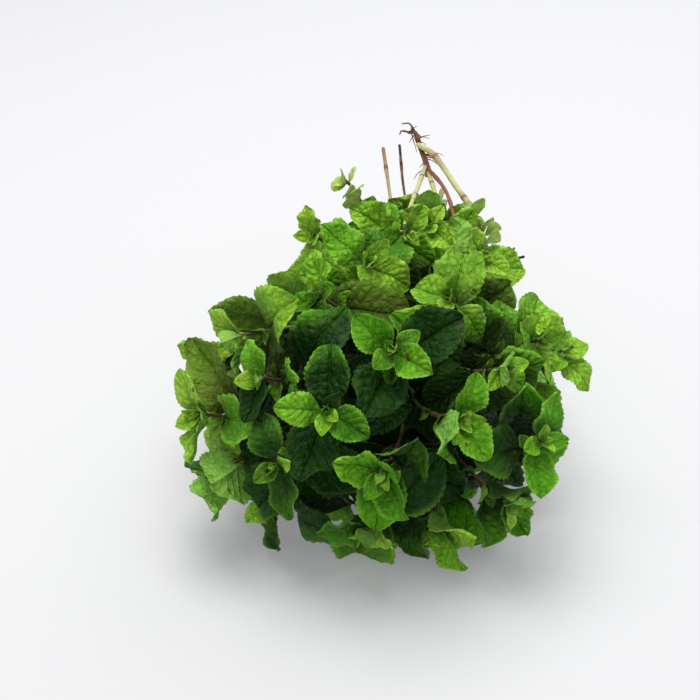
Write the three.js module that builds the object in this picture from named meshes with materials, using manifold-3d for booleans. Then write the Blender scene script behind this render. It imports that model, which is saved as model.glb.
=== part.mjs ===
// A bunch of fresh mint lying on its side, as bought: leafy stems gathered loosely, their leafy tops fanned out
// into a round head towards -Y and their cut ends together towards +Y. Four stripped stalks still hang on one
// piece of rooted runner, and a few short shoots and dry stalks stand out of the bunch at the back.
// Millimetres, +Z up. The surface that the bunch lies on is z = 0, where the lowest leaves are pressed flat.
import * as THREE from "three";
import { mergeVertices } from "three/addons/utils/BufferGeometryUtils.js";
import Module from "manifold-3d";

const wasm = await Module();
wasm.setup();

// Driving dimensions of the bunch.
const HEAD = { x: 0, y: -70, z: 59, halfWidth: 88, halfHeight: 52, front: 72, back: 150 };
const NECK = { x: 6, y: 8, z: 47, radius: 18, room: 6 };
const CUT_ENDS = { x: 26, y: 134, z: 34, splay: 1.05, shortest: 0.24, longest: -0.2 };
const MIDDLE = { x: -5.0, y: 14.2 }; // the middle of the finished bunch, which the part's origin lies under
const BACK_TAPER = 1.15; // how fast the head narrows behind its widest place
const TIP_SPLAY = 58; // degrees that a tip at the widest place leans out
const TIP_LIFT = 0.25; // how much every tip turns up to the light
const TIP_RUN = 68; // length of stem that points the way its tip does
const LOWEST_TIP = 13;
const MOST_DOWNWARD = -0.22;
const TIP_STRAY = { aside: 0.55, down: 0.5, up: 0.3 }; // how far each tip may turn away from that, either way

// Driving dimensions of a stem and of a leaf.
const STEM = { base: 1.7, tip: 0.8, sides: 4, step: 42, samples: 64 };
const BLADE = {
  thickness: 0.8,
  petioleShare: 0.12,
  petiole: 1.0,
  root: 0.4,
  rootDepth: 0.25,
  tooth: 0.045,
  fold: 16,
  twist: 14,
};
const DROOP = 0.42; // how far gravity bends a leaf's direction, as a share of its own
// How far the surface below may press a leaf up, how flat the leaf must lie for that, and how near to the surface
// the weight of the bunch flattens a leaf onto it.
const FLOOR = { deepest: 9, flattest: 0.5, press: 5 };

// Leaf pairs from the tip down: distance from the tip, length, lean from the stem in degrees and arch along the leaf.
const GROWN = {
  width: 0.74,
  pairs: [
    { fromTip: 5, length: 24, lean: 44, arch: 30 },
    { fromTip: 17, length: 34, lean: 60, arch: 40 },
    { fromTip: 34, length: 41, lean: 70, arch: 48 },
  ],
};
const YOUNG = {
  width: 0.9,
  pairs: [
    { fromTip: 3, length: 11, lean: 58, arch: 20 },
    { fromTip: 15, length: 12, lean: 75, arch: 20 },
  ],
};
const PLACING_ORDER = [1, 2, 0];

// Where the stems' tips lie in the head, seen from the front: clock is degrees from straight up towards +X, spread
// is degrees from straight ahead, turn is the first pair's angle round the stem, and size scales the leaves.
const STEMS = [
  { name: "front", clock: -12, spread: 14, turn: 60, size: 1.1, pairs: 3 },
  { name: "centre", clock: -28, spread: 44, turn: 75, size: 0.95, pairs: 3 },
  { name: "centre_right", clock: 30, spread: 40, turn: 10, size: 1.0, pairs: 3 },
  { name: "centre_left", clock: -76, spread: 36, turn: 45, size: 1.0, pairs: 3 },
  { name: "low_front", clock: -165, spread: 30, turn: 60, size: 1.12, pairs: 3 },
  { name: "upper_left", clock: -46, spread: 66, turn: 15, size: 0.95, pairs: 3 },
  { name: "upper_middle", clock: 0, spread: 66, turn: 50, size: 1.0, pairs: 3 },
  { name: "upper_right", clock: 37, spread: 66, turn: 30, size: 0.95, pairs: 3 },
  { name: "right", clock: 74, spread: 50, turn: 0, size: 0.95, pairs: 3 },
  { name: "low_right", clock: 118, spread: 42, turn: 40, size: 1.0, pairs: 3 },
  { name: "low_right_side", clock: 163, spread: 47, turn: 65, size: 0.95, pairs: 3 },
  { name: "low_left", clock: -134, spread: 60, turn: 25, size: 1.1, pairs: 3 },
  { name: "low_left_side", clock: -112, spread: 66, turn: 95, size: 1.2, pairs: 3 },
  { name: "under", clock: 172, spread: 72, turn: 62, size: 1.05, pairs: 3 },
  { name: "left", clock: -84, spread: 76, turn: 40, size: 1.05, pairs: 3 },
  { name: "top_left", clock: -52, spread: 92, turn: 50, size: 1.1, pairs: 3 },
  { name: "top", clock: -22, spread: 96, turn: 20, size: 1.1, pairs: 3 },
  { name: "top_right", clock: 18, spread: 94, turn: 65, size: 1.05, pairs: 3 },
  { name: "right_top", clock: 48, spread: 88, turn: 30, size: 0.95, pairs: 3 },
  { name: "right_side", clock: 62, spread: 92, turn: 10, size: 1.0, pairs: 3 },
  { name: "under_right", clock: 142, spread: 96, turn: 45, size: 1.0, pairs: 3 },
  { name: "under_left", clock: -140, spread: 96, turn: 60, size: 1.0, pairs: 3 },
  { name: "back_left", clock: -96, spread: 108, turn: 30, size: 1.0, pairs: 3 },
  { name: "back_top_left", clock: -7, spread: 106, turn: 70, size: 1.1, pairs: 3 },
  { name: "back_top", clock: 8, spread: 124, turn: 15, size: 0.75, pairs: 3 },
  { name: "back_top_right", clock: 36, spread: 118, turn: 40, size: 0.8, pairs: 3 },
  { name: "back_right", clock: 118, spread: 114, turn: 20, size: 0.9, pairs: 3 },
  { name: "back_high", clock: 24, spread: 140, turn: 45, size: 0.95, pairs: 3 },
  { name: "back_high_left", clock: -44, spread: 140, turn: 25, size: 0.75, pairs: 3 },
  { name: "back_under", clock: 178, spread: 112, turn: 55, size: 0.9, pairs: 3 },
];

// Short shoots that stand up out of the bunch at the back, each with the four points of the curve that it follows.
const SHOOTS = [
  { name: "crown_shoot", route: [[18, 34, 70], [19, 50, 71], [20, 64, 73], [20, 70, 80]], turn: 0, size: 0.8 },
  { name: "crown_shoot_left", route: [[-4, 30, 70], [-5, 48, 71], [-5, 60, 75], [-5, 67, 80]], turn: 30, size: 0.7 },
  { name: "crown_shoot_right", route: [[30, 24, 68], [33, 38, 69], [36, 50, 70], [38, 58, 75]], turn: 60, size: 0.7 },
  { name: "young_shoot_left", route: [[-4, 58, 69], [-8, 76, 73], [-14, 90, 82], [-21, 86, 91]], turn: 45, young: true },
  { name: "young_shoot_right", route: [[54, 56, 59], [53, 66, 62], [50, 75, 68], [46, 80, 75]], turn: 20, young: true },
];
const SHOOT = { base: 1.2, tip: 0.7 };

// The youngest leaves, still folded together at a stem's tip: how far beyond it and how thick, for each ring.
const BUD = [
  { beyond: 3.2, radius: 1.9 },
  { beyond: 8.5, radius: 0.5 },
];

// Bare stalks, dry twig and the rooted runner: each is a curve through points, with its thickness at both ends.
const STALKS = [
  { name: "dry_stalk", tubes: [{ through: [[5, 48, 71], [4, 96, 67], [0, 150, 77]], from: 1.1, to: 1.5 }] },
  { name: "dark_stalk", tubes: [{ through: [[17, 58, 70], [11, 112, 69], [9, 150, 79]], from: 1.0, to: 1.1 }] },
  {
    name: "dry_twig",
    tubes: [
      { through: [[38, 34, 63], [52, 48, 62], [71, 53, 64]], from: 1.3, to: 0.7 },
      { through: [[57, 50, 61.5], [61, 52, 65], [66, 55, 68]], from: 0.8, to: 0.5 },
    ],
  },
  {
    name: "rooted_runner",
    tubes: [
      { through: [[15, 176, 74], [18, 170, 77], [21, 164, 71], [24, 158, 65], [26, 152, 59]], from: 1.2, to: 2.3 },
      { through: [[20, 165, 72], [28, 150, 73], [40, 124, 66], [47, 98, 66], [46, 56, 70]], from: 1.9, to: 1.7 },
      { through: [[24, 157, 63], [19, 124, 68], [14, 84, 79], [9, 44, 87]], from: 1.5, to: 1.4 },
      { through: [[25, 155, 61], [28, 130, 61], [30, 106, 62], [30, 58, 67]], from: 1.5, to: 1.3 },
      { through: [[25, 156, 62], [33, 126, 65], [36, 102, 66], [37, 60, 69]], from: 1.3, to: 1.2 },
      { through: [[16, 174, 75], [11, 178, 74], [10, 182, 70]], from: 0.8, to: 0.4 },
      { through: [[19, 169, 76], [15, 173, 81], [11, 173, 81]], from: 0.8, to: 0.4 },
      { through: [[22, 161, 68], [30, 167, 63], [34, 171, 57]], from: 0.8, to: 0.4 },
    ],
  },
];
const KNOBS = { every: 14, height: 0.16 }; // the knots along a stalk

// How a leaf is bent to lie clear of its neighbours: each of these is tried in turn, the largest leaf first.
const TRIED_SIZES = [1, 0.84, 0.68];
const TRIED_YAWS = [0, 20, -20, 40, -40];
const TRIED_LEANS = [0, 14, -14, 28];
const TRIED_ARCHES = [0, 34, -30];
const CLEAR = { leaf: 2.9, stem: 3.6, root: 5, spacing: 2.1 }; // least distances between the points tested

const radians = THREE.MathUtils.degToRad;
const vector = (x, y, z) => new THREE.Vector3(x, y, z);

// A repeatable draw from 0 to 1 for a stem, a leaf on it and what the draw is used for.
function draw(stem, leaf, use) {
  let h = (stem * 73856093) ^ (leaf * 19349663) ^ (use * 83492791);
  h = Math.imul(h ^ (h >>> 15), 2246822519);
  h = Math.imul(h ^ (h >>> 13), 3266489917);
  return ((h ^ (h >>> 16)) >>> 0) / 4294967296;
}

const between = (low, high, share) => low + (high - low) * share;

// Where each stem runs in the bunch, across it from its middle: every stem on its own side, those of the widest
// spread tips outermost, and all pushed apart until there is room for each.
function placesInBunch() {
  const ranks = STEMS.map((_, i) => i).sort((a, b) => STEMS[a].spread - STEMS[b].spread);
  const places = STEMS.map((row, i) => {
    const clock = radians(row.clock);
    const reach = NECK.radius * Math.sqrt((ranks.indexOf(i) + 0.5) / STEMS.length);
    return vector(reach * Math.sin(clock), 0, reach * Math.cos(clock));
  });
  for (let round = 0; round < 80; round++)
    places.forEach((a, i) =>
      places.slice(i + 1).forEach((b) => {
        const apart = b.clone().sub(a);
        const lack = NECK.room - apart.length();
        if (lack <= 0) return;
        apart.setLength(lack / 2);
        a.sub(apart);
        b.add(apart);
      }),
    );
  return places;
}

// The cubic curve that a stem follows from its cut end, through the neck of the bunch, to its tip.
function stemCurve(row, index, place, shorter) {
  const clock = radians(row.clock);
  const spread = radians(row.spread);
  const side = vector(Math.sin(clock), 0, Math.cos(clock));
  const wide = row.spread > 90 ? Math.sin(spread) ** BACK_TAPER : Math.sin(spread);
  const depth = row.spread > 90 ? HEAD.back : HEAD.front;
  const tip = vector(
    HEAD.x + HEAD.halfWidth * wide * side.x,
    HEAD.y - depth * Math.cos(spread),
    Math.max(LOWEST_TIP, HEAD.z + HEAD.halfHeight * wide * side.z),
  );
  const splay = radians(TIP_SPLAY) * Math.sin(spread);
  const heading = side.clone().multiplyScalar(Math.sin(splay)).add(vector(0, -Math.cos(splay), 0));
  const round = vector(-side.z, 0, side.x);
  heading.addScaledVector(round, between(-TIP_STRAY.aside, TIP_STRAY.aside, draw(index, 0, 10)));
  heading.z += TIP_LIFT + between(-TIP_STRAY.down, TIP_STRAY.up, draw(index, 0, 11));
  heading.z = Math.max(heading.z, MOST_DOWNWARD);
  heading.normalize();
  const neck = vector(NECK.x, NECK.y, NECK.z).add(place);
  const cutEnd = vector(CUT_ENDS.x, CUT_ENDS.y, CUT_ENDS.z).addScaledVector(place, CUT_ENDS.splay);
  cutEnd.addScaledVector(neck.clone().sub(cutEnd), shorter);
  const run = Math.min(TIP_RUN, 0.4 * tip.distanceTo(cutEnd));
  const flare = tip.clone().addScaledVector(heading, -run);
  return new THREE.CubicBezierCurve3(cutEnd, neck, flare, tip);
}

// Points along a stem, with its direction and a side that turns as little as it can, and lengths from the cut end.
function followCurve(curve) {
  const samples = [];
  let across = vector(0, 0, 1);
  let length = 0;
  for (let i = 0; i <= STEM.samples; i++) {
    const at = curve.getPoint(i / STEM.samples);
    const along = curve.getTangent(i / STEM.samples);
    across = across.clone().addScaledVector(along, -across.dot(along)).normalize();
    if (i > 0) length += at.distanceTo(samples[i - 1].at);
    samples.push({ at, along, across, length });
  }
  return samples;
}

// The stem at a distance back from its tip.
function stemAt(samples, fromTip) {
  const wanted = samples[samples.length - 1].length - fromTip;
  let i = 1;
  while (i < samples.length - 1 && samples[i].length < wanted) i++;
  const [a, b] = [samples[i - 1], samples[i]];
  const share = (wanted - a.length) / (b.length - a.length);
  const along = a.along.clone().lerp(b.along, share).normalize();
  const across = b.across.clone().addScaledVector(along, -b.across.dot(along)).normalize();
  return { at: a.at.clone().lerp(b.at, share), along, across };
}

// A blade's half width, as a share of its greatest, from its base at 0 to its tip at 1.
const bladeShape = (along) => Math.sin(Math.PI * Math.min(1, Math.max(0, along)) ** 0.82) ** 0.68;

// How far from its stem's tip a pair of leaves grows.
const leafNode = (index, kind, pair) => kind.pairs[pair].fromTip * between(0.85, 1.15, draw(index, pair, 2));

// A leaf's own frame and bends. Its surface is found by leafPoint.
function makeLeaf(index, { row, kind, samples }, pair, half, tried) {
  const { length, lean, arch } = kind.pairs[pair];
  const key = pair * 2 + half;
  const node = stemAt(samples, leafNode(index, kind, pair));
  const turn = row.turn + 90 * pair + 180 * half + between(-32, 32, draw(index, key, 3)) + tried.yaw;
  const out = node.across.clone().applyAxisAngle(node.along, radians(turn));
  const leant = radians(lean + between(-24, 20, draw(index, key, 4)) + tried.lean);
  const toward = node.along.clone().multiplyScalar(Math.cos(leant)).addScaledVector(out, Math.sin(leant));
  toward.z -= DROOP;
  toward.normalize();
  const face = node.along.clone().multiplyScalar(Math.sin(leant)).addScaledVector(out, -Math.cos(leant));
  face.addScaledVector(toward, -face.dot(toward)).normalize();
  const size = length * (row.size || 1) * tried.size * between(0.88, 1.12, draw(index, key, 5));
  return {
    at: node.at.addScaledVector(toward, BLADE.rootDepth),
    toward,
    face,
    length: size,
    halfWidth: (size * kind.width * between(0.9, 1.08, draw(index, key, 6))) / 2,
    arch: radians(arch * between(0.1, 1.9, draw(index, key, 7)) + tried.arch),
    fold: radians(BLADE.fold * between(0.2, 1.6, draw(index, key, 8))),
    twist: radians(BLADE.twist * between(-1.6, 1.6, draw(index, key, 9))),
  };
}

// The point of a leaf's middle surface a share along it and a share of its half width across it, and the way that
// the leaf's face points there. Where the leaf would be under the surface that it lies on, it is pressed flat on it.
function leafPoint(leaf, along, across, reach = 1) {
  const arch = Math.abs(leaf.arch) < 0.01 ? 0.01 : leaf.arch;
  const turned = arch * along;
  const at = leaf.at
    .clone()
    .addScaledVector(leaf.toward, (leaf.length * Math.sin(turned)) / arch)
    .addScaledVector(leaf.face, (-leaf.length * (1 - Math.cos(turned))) / arch);
  const toward = leaf.toward.clone().multiplyScalar(Math.cos(turned)).addScaledVector(leaf.face, -Math.sin(turned));
  const face = leaf.face.clone().multiplyScalar(Math.cos(turned)).addScaledVector(leaf.toward, Math.sin(turned));
  face.applyAxisAngle(toward, leaf.twist * along);
  const aside = toward.clone().cross(face);
  const onBlade = (along - BLADE.petioleShare) / (1 - BLADE.petioleShare);
  const stalk = between(BLADE.root, BLADE.petiole, Math.min(1, along / BLADE.petioleShare));
  const wide = Math.max(stalk, leaf.halfWidth * reach * bladeShape(onBlade)) * across;
  at.addScaledVector(aside, wide * Math.cos(leaf.fold)).addScaledVector(face, Math.abs(wide) * Math.sin(leaf.fold));
  const lowest = BLADE.thickness / 2;
  const height = at.z - lowest;
  const flatness = Math.abs(face.z);
  const press = FLOOR.press * flatness;
  if (height < press) {
    at.z = lowest;
    return { at, face: vector(0, 0, Math.sign(face.z) || 1), depth: Math.max(0, -height), flatness };
  }
  if (height < 3 * press) at.z = lowest + 1.5 * (height - press);
  return { at, face, depth: 0, flatness };
}

// Points spread over a leaf, for testing what it meets, or nothing where the surface below would crush it.
function leafTestPoints(leaf) {
  const rows = Math.ceil(leaf.length / CLEAR.spacing);
  const points = [];
  for (let i = 1; i <= rows; i++) {
    const along = i / rows;
    const wide = leaf.halfWidth * bladeShape((along - BLADE.petioleShare) / (1 - BLADE.petioleShare));
    const columns = Math.ceil(wide / CLEAR.spacing);
    for (let j = -columns; j <= columns; j++) {
      const found = leafPoint(leaf, along, columns ? j / columns : 0);
      if (found.depth > FLOOR.deepest || (found.depth > 0 && found.flatness < FLOOR.flattest)) return null;
      points.push({ at: found.at, byRoot: i * CLEAR.spacing < CLEAR.root });
    }
  }
  return points;
}

// Points already taken, kept by the cell of a grid that they lie in.
class TakenSpace {
  constructor(cell) {
    this.cell = cell;
    this.cells = new Map();
  }

  key(x, y, z) {
    return `${x},${y},${z}`;
  }

  add(point, owner) {
    const key = this.key(...point.toArray().map((c) => Math.floor(c / this.cell)));
    if (!this.cells.has(key)) this.cells.set(key, []);
    this.cells.get(key).push({ point, owner });
  }

  isClear(point, distance, ignores) {
    const [x, y, z] = point.toArray().map((c) => Math.floor(c / this.cell));
    for (let i = x - 1; i <= x + 1; i++)
      for (let j = y - 1; j <= y + 1; j++)
        for (let k = z - 1; k <= z + 1; k++)
          for (const taken of this.cells.get(this.key(i, j, k)) || [])
            if (!ignores(taken.owner) && taken.point.distanceTo(point) < distance) return false;
    return true;
  }
}

// A closed mesh as a solid that can be joined to others.
function solidOf(geometry) {
  const merged = mergeVertices(geometry, 1e-5);
  const mesh = new wasm.Mesh({
    numProp: 3,
    vertProperties: merged.attributes.position.array,
    triVerts: new Uint32Array(merged.index.array),
  });
  return new wasm.Manifold(mesh);
}

function geometryOf(points, triangles) {
  const geometry = new THREE.BufferGeometry();
  geometry.setAttribute("position", new THREE.Float32BufferAttribute(points.flatMap((p) => p.toArray()), 3));
  geometry.setIndex(triangles.flat());
  return geometry;
}

// A closed tube through rings, each with its own middle, direction and radius.
function tube(rings, sides = STEM.sides) {
  const points = [rings[0].at];
  const triangles = [];
  rings.forEach(({ at, along, across, radius }) => {
    const aside = along.clone().cross(across);
    for (let i = 0; i < sides; i++) {
      const angle = (2 * Math.PI * (i + 0.5)) / sides;
      points.push(
        at
          .clone()
          .addScaledVector(across, radius * Math.cos(angle))
          .addScaledVector(aside, radius * Math.sin(angle)),
      );
    }
  });
  points.push(rings[rings.length - 1].at);
  const last = points.length - 1;
  for (let i = 0; i < sides; i++) {
    const next = (i + 1) % sides;
    triangles.push([0, 1 + next, 1 + i]);
    for (let ring = 0; ring < rings.length - 1; ring++) {
      const low = 1 + ring * sides;
      const high = low + sides;
      triangles.push([low + i, low + next, high + next], [low + i, high + next, high + i]);
    }
    triangles.push([last, last - sides + i, last - sides + next]);
  }
  return geometryOf(points, triangles);
}

// How far along the toothed edge its corners lie, tooth tips and notches in turn, and how far along the rib its
// corners lie, for leaves down to each length.
const EDGES = [
  { least: 29, edge: [0.17, 0.36, 0.52, 0.6, 0.84], rib: [0.14, 0.5] },
  { least: 17, edge: [0.22, 0.5, 0.8], rib: [0.4] },
  { least: 0, edge: [0.34, 0.68], rib: [0.2] },
];

// A thin leaf blade with its stalk: a rib and two toothed edges, the same triangles on both faces.
function blade(leaf) {
  const { edge, rib } = EDGES.find(({ least }) => leaf.length >= least);
  const flat = [];
  const place = (along, across, reach) => flat.push(leafPoint(leaf, along, across, reach)) - 1;
  const toothed = (i) => (edge.length < 4 ? 1 : 1 + (i % 2 ? BLADE.tooth : -BLADE.tooth));
  const sides = [-1, 1].map((s) => [place(0, s, 1), ...edge.map((along, i) => place(along, s, toothed(i)))]);
  const spine = rib.map((along) => place(along, 0, 1));
  const tip = place(1, 0, 1);
  const faces = [[sides[0][0], sides[1][0], spine[0]]];
  sides.forEach((side, s) => {
    const outer = [...side, tip];
    const inner = [...spine, tip];
    const fan = (a, b, c) => faces.push(s ? [a, b, c] : [b, a, c]);
    let [i, j] = [0, 0];
    while (i < edge.length || j < rib.length - 1) {
      if (i < edge.length && (j === rib.length - 1 || edge[i] <= rib[j + 1])) {
        fan(outer[i], outer[i + 1], inner[j]);
        i++;
      } else {
        fan(outer[i], inner[j + 1], inner[j]);
        j++;
      }
    }
    fan(outer[i], tip, inner[j]);
  });
  const half = BLADE.thickness / 2;
  const upper = flat.map(({ at, face }) => at.clone().addScaledVector(face, half));
  const lower = flat.map(({ at, face }) => at.clone().addScaledVector(face, -half));
  const down = flat.length;
  const rim = [...sides[0], tip, ...sides[1].slice().reverse()];
  const triangles = faces.flatMap(([a, b, c]) => [
    [a, b, c],
    [a + down, c + down, b + down],
  ]);
  rim.forEach((a, i) => {
    const b = rim[(i + 1) % rim.length];
    triangles.push([a, b, b + down], [a, b + down, a + down]);
  });
  return geometryOf([...upper, ...lower], triangles);
}

// Every stem and shoot with the line that it follows, before its leaves are placed.
function layOutStems() {
  const places = placesInBunch();
  const grown = STEMS.map((row, i) => {
    const shorter = between(CUT_ENDS.shortest, CUT_ENDS.longest, draw(i, 0, 1));
    const samples = followCurve(stemCurve(row, i, places[i], shorter));
    return { name: `leafy_stem_${row.name}`, row, kind: GROWN, samples, base: STEM.base, tip: STEM.tip, leaves: [] };
  });
  const shoots = SHOOTS.map((row) => {
    const samples = followCurve(new THREE.CubicBezierCurve3(...row.route.map((point) => vector(...point))));
    const kind = row.young ? YOUNG : GROWN;
    return { name: row.name, row: { ...row, pairs: 2 }, kind, samples, base: SHOOT.base, tip: SHOOT.tip, leaves: [] };
  });
  return [...grown, ...shoots];
}

// Stalks, runner, roots and twig, each a list of lines with a thickness at both ends.
function layOutStalks() {
  return STALKS.map(({ name, tubes }) => ({
    name,
    lines: tubes.map(({ through, from, to }) => {
      const curve = new THREE.CatmullRomCurve3(through.map((point) => vector(...point)));
      return { samples: followCurve(curve), from, to };
    }),
  }));
}

// Places every leaf that finds room, pair by pair.
function placeLeaves(stems, stalks) {
  const taken = new TakenSpace(CLEAR.stem);
  stems.forEach(({ samples }, i) => samples.forEach(({ at }) => taken.add(at, { stem: i, leaf: -1 })));
  for (const { lines } of stalks)
    for (const { samples } of lines) samples.forEach(({ at }) => taken.add(at, { stem: -1, leaf: -1 }));
  for (const pair of PLACING_ORDER)
    stems.forEach((stem, i) => {
      if (pair >= stem.row.pairs) return;
      for (const half of [0, 1]) {
        const leaf = firstClearLeaf(taken, i, stem, pair, half);
        if (leaf) stem.leaves.push(leaf);
      }
    });
}

function* waysToBend() {
  for (const size of TRIED_SIZES)
    for (const yaw of TRIED_YAWS)
      for (const lean of TRIED_LEANS) for (const arch of TRIED_ARCHES) yield { size, yaw, lean, arch };
}

// The first way of bending a leaf that keeps it clear of every other stem and leaf, or null.
function firstClearLeaf(taken, index, stem, pair, half) {
  const key = pair * 2 + half;
  for (const tried of waysToBend()) {
    const leaf = makeLeaf(index, stem, pair, half, tried);
    const points = leafTestPoints(leaf);
    if (!points) continue;
    const clear = points.every(
      ({ at, byRoot }) =>
        taken.isClear(at, CLEAR.leaf, (owner) => owner.leaf === -1 || (byRoot && owner.stem === index)) &&
        taken.isClear(at, CLEAR.stem, (owner) => owner.leaf !== -1 || owner.stem === index),
    );
    if (!clear) continue;
    points.forEach(({ at }) => taken.add(at, { stem: index, leaf: key }));
    return leaf;
  }
  return null;
}

const COLOURS = { leafy: 0x3f8a24, young: 0x7fb83a, stalk: 0xb7b06a, dry: 0x3a2a1c, runner: 0x7a4a26 };

// One leafy stem: the tapering square stem, with a ring at each pair of leaves, and its leaves joined on.
function leafyStem(stem, index) {
  const { name, row, kind, samples, base, tip, leaves } = stem;
  const length = samples[samples.length - 1].length;
  const stations = [0];
  for (let pair = 0; pair < row.pairs; pair++) stations.push(leafNode(index, kind, pair));
  const bare = length - stations[stations.length - 1];
  const steps = Math.ceil(bare / STEM.step);
  for (let i = 1; i <= steps; i++) stations.push(length - bare * (1 - i / steps));
  const rings = stations.reverse().map((fromTip) => ({
    ...stemAt(samples, fromTip),
    radius: between(tip, base, fromTip / length),
  }));
  const end = rings[rings.length - 1];
  for (const { beyond, radius } of BUD)
    rings.push({ ...end, at: end.at.clone().addScaledVector(end.along, beyond), radius });
  let solid = solidOf(tube(rings));
  for (const leaf of leaves) solid = solid.add(solidOf(blade(leaf)));
  return meshOf(solid, name, kind === YOUNG ? COLOURS.young : COLOURS.leafy);
}

// One stalk or runner: its tubes joined, each with knots along it.
function stalk({ name, lines }) {
  const solids = lines.map(({ samples, from, to }) => {
    const length = samples[samples.length - 1].length;
    const knots = Math.max(3, 2 * Math.round(length / KNOBS.every));
    const rings = everyFew(samples, knots + 1).map((sample, i) => ({
      ...sample,
      radius: between(from, to, i / knots) * (i % 2 ? 1 + KNOBS.height : 1),
    }));
    return solidOf(tube(rings));
  });
  const whole = solids.reduce((a, b) => a.add(b));
  return meshOf(whole, name, name === "rooted_runner" ? COLOURS.runner : COLOURS.dry);
}

const everyFew = (samples, count) =>
  Array.from({ length: count }, (_, i) => samples[Math.round((i * (samples.length - 1)) / (count - 1))]);

function meshOf(solid, name, color) {
  const made = solid.getMesh();
  const geometry = new THREE.BufferGeometry();
  geometry.setAttribute("position", new THREE.BufferAttribute(new Float32Array(made.vertProperties), 3));
  geometry.setIndex(new THREE.BufferAttribute(new Uint32Array(made.triVerts), 1));
  geometry.computeVertexNormals();
  const mesh = new THREE.Mesh(geometry, new THREE.MeshStandardMaterial({ color, roughness: 0.55, metalness: 0 }));
  mesh.name = name;
  return mesh;
}

const bunch = new THREE.Group();
bunch.name = "mint_bunch";
bunch.position.set(-MIDDLE.x, -MIDDLE.y, 0);
const stems = layOutStems();
const stalks = layOutStalks();
placeLeaves(stems, stalks);
stems.forEach((stem, index) => bunch.add(leafyStem(stem, index)));
stalks.forEach((one) => bunch.add(stalk(one)));

export default bunch;
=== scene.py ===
"""A bunch of fresh mint lying on its side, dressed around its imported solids.

The stems, leaves, shoots and stalks are laid out from the same named sizes as the part's solids. Each leaf of
the solids gets a fine blade in the same place: closed, veined, puckered, toothed and waved. Small leaves at the
tips and in the axils, and leaves lower down the stems, fill the bunch. Sizes are in millimetres until a mesh is
written.
"""

import itertools
import logging
import math
from collections.abc import Iterator
from dataclasses import dataclass, field
from enum import Enum, IntEnum

import bmesh
import bpy
import numpy as np
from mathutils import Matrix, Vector
from mathutils.kdtree import KDTree


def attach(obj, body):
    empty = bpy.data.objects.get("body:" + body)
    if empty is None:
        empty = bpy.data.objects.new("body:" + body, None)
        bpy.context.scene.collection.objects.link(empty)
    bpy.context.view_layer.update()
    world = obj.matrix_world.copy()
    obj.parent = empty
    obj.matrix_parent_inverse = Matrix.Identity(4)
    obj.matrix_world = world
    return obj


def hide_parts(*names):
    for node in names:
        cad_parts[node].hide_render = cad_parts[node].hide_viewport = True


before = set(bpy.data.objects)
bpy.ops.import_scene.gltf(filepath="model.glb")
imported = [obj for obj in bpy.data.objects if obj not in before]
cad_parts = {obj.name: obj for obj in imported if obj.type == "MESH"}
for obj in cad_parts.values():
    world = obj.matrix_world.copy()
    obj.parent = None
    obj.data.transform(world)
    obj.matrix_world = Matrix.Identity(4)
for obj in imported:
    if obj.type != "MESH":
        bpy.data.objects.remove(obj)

LOG = logging.getLogger("mint bunch")
MM = 0.001
BODY = "root"
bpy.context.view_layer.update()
Point = tuple[float, float, float]
Colour = tuple[float, float, float]
Range = tuple[float, float]
Socket = bpy.types.NodeSocket
BUNCH_TO_PART = np.array((5.0, -14.2, 0.0))  # from the frame that the bunch is laid out in to the part's own
UP = np.array((0.0, 0.0, 1.0))


def unit(v: np.ndarray) -> np.ndarray:
    """A vector, or each row of an array of vectors, at length 1."""
    return v / np.linalg.norm(v, axis=-1, keepdims=True)


def turned(v: np.ndarray, axis: np.ndarray, angle: float) -> np.ndarray:
    """A vector turned about a unit axis by an angle in radians."""
    cos, sin = math.cos(angle), math.sin(angle)
    return v * cos + np.cross(axis, v) * sin + axis * (axis @ v) * (1 - cos)


def between(low: float, high: float, share: float) -> float:
    """The value a share of the way from low to high."""
    return low + (high - low) * share


def smooth(low: float, high: float, value: np.ndarray) -> np.ndarray:
    """A smooth step from 0 at low to 1 at high."""
    t = np.clip((value - low) / (high - low), 0.0, 1.0)
    return t * t * (3.0 - 2.0 * t)


WORD = 0xFFFFFFFF
DRAW_FACTORS = (73856093, 19349663, 83492791)
DRAW_STEPS = ((15, 2246822519), (13, 3266489917))
LAST_DRAW_SHIFT = 16


class Use(IntEnum):
    """What a repeatable draw is used for."""

    CUT_END = 1
    NODE = 2
    TURN = 3
    LEAN = 4
    LENGTH = 5
    WIDTH = 6
    ARCH = 7
    FOLD = 8
    TWIST = 9
    STRAY_ASIDE = 10
    STRAY_UP = 11
    PUCKER = 20
    WAVE_COUNT = 21
    WAVE_START = 22
    WAVE_HEIGHT = 23
    CURL = 24
    SWAY = 25
    AXIL_LENGTH = 30
    AXIL_TURN = 31
    AXIL_LEAN = 32
    TONE = 40
    YOUTH = 41
    STEM_TONE = 42
    UNEVEN = 50
    ROOT_PLACE = 60
    ROOT_TURN = 61
    ROOT_REACH = 62
    ROOT_ASIDE = 63
    ROOT_DROP = 64


def draw(stem: int, leaf: int, use: int) -> float:
    """A repeatable draw from 0 to 1.

    Args:
        stem: which stem it is for.
        leaf: which leaf on that stem.
        use: what the draw is used for.

    Returns:
        The draw, the same one as the solids were laid out with.
    """
    mixed = 0
    for number, factor in zip((stem, leaf, use), DRAW_FACTORS):
        mixed ^= number * factor
    mixed &= WORD
    for shift, factor in DRAW_STEPS:
        mixed = (mixed ^ mixed >> shift) * factor & WORD
    return (mixed ^ mixed >> LAST_DRAW_SHIFT) / (WORD + 1)


def deselect() -> None:
    """Leaves nothing selected."""
    bpy.ops.object.select_all(action="DESELECT")


def make_active(piece: bpy.types.Object) -> None:
    """Selects one object alone and makes it the active one.

    Args:
        piece: the object.
    """
    deselect()
    piece.select_set(True)
    bpy.context.view_layer.objects.active = piece


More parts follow.
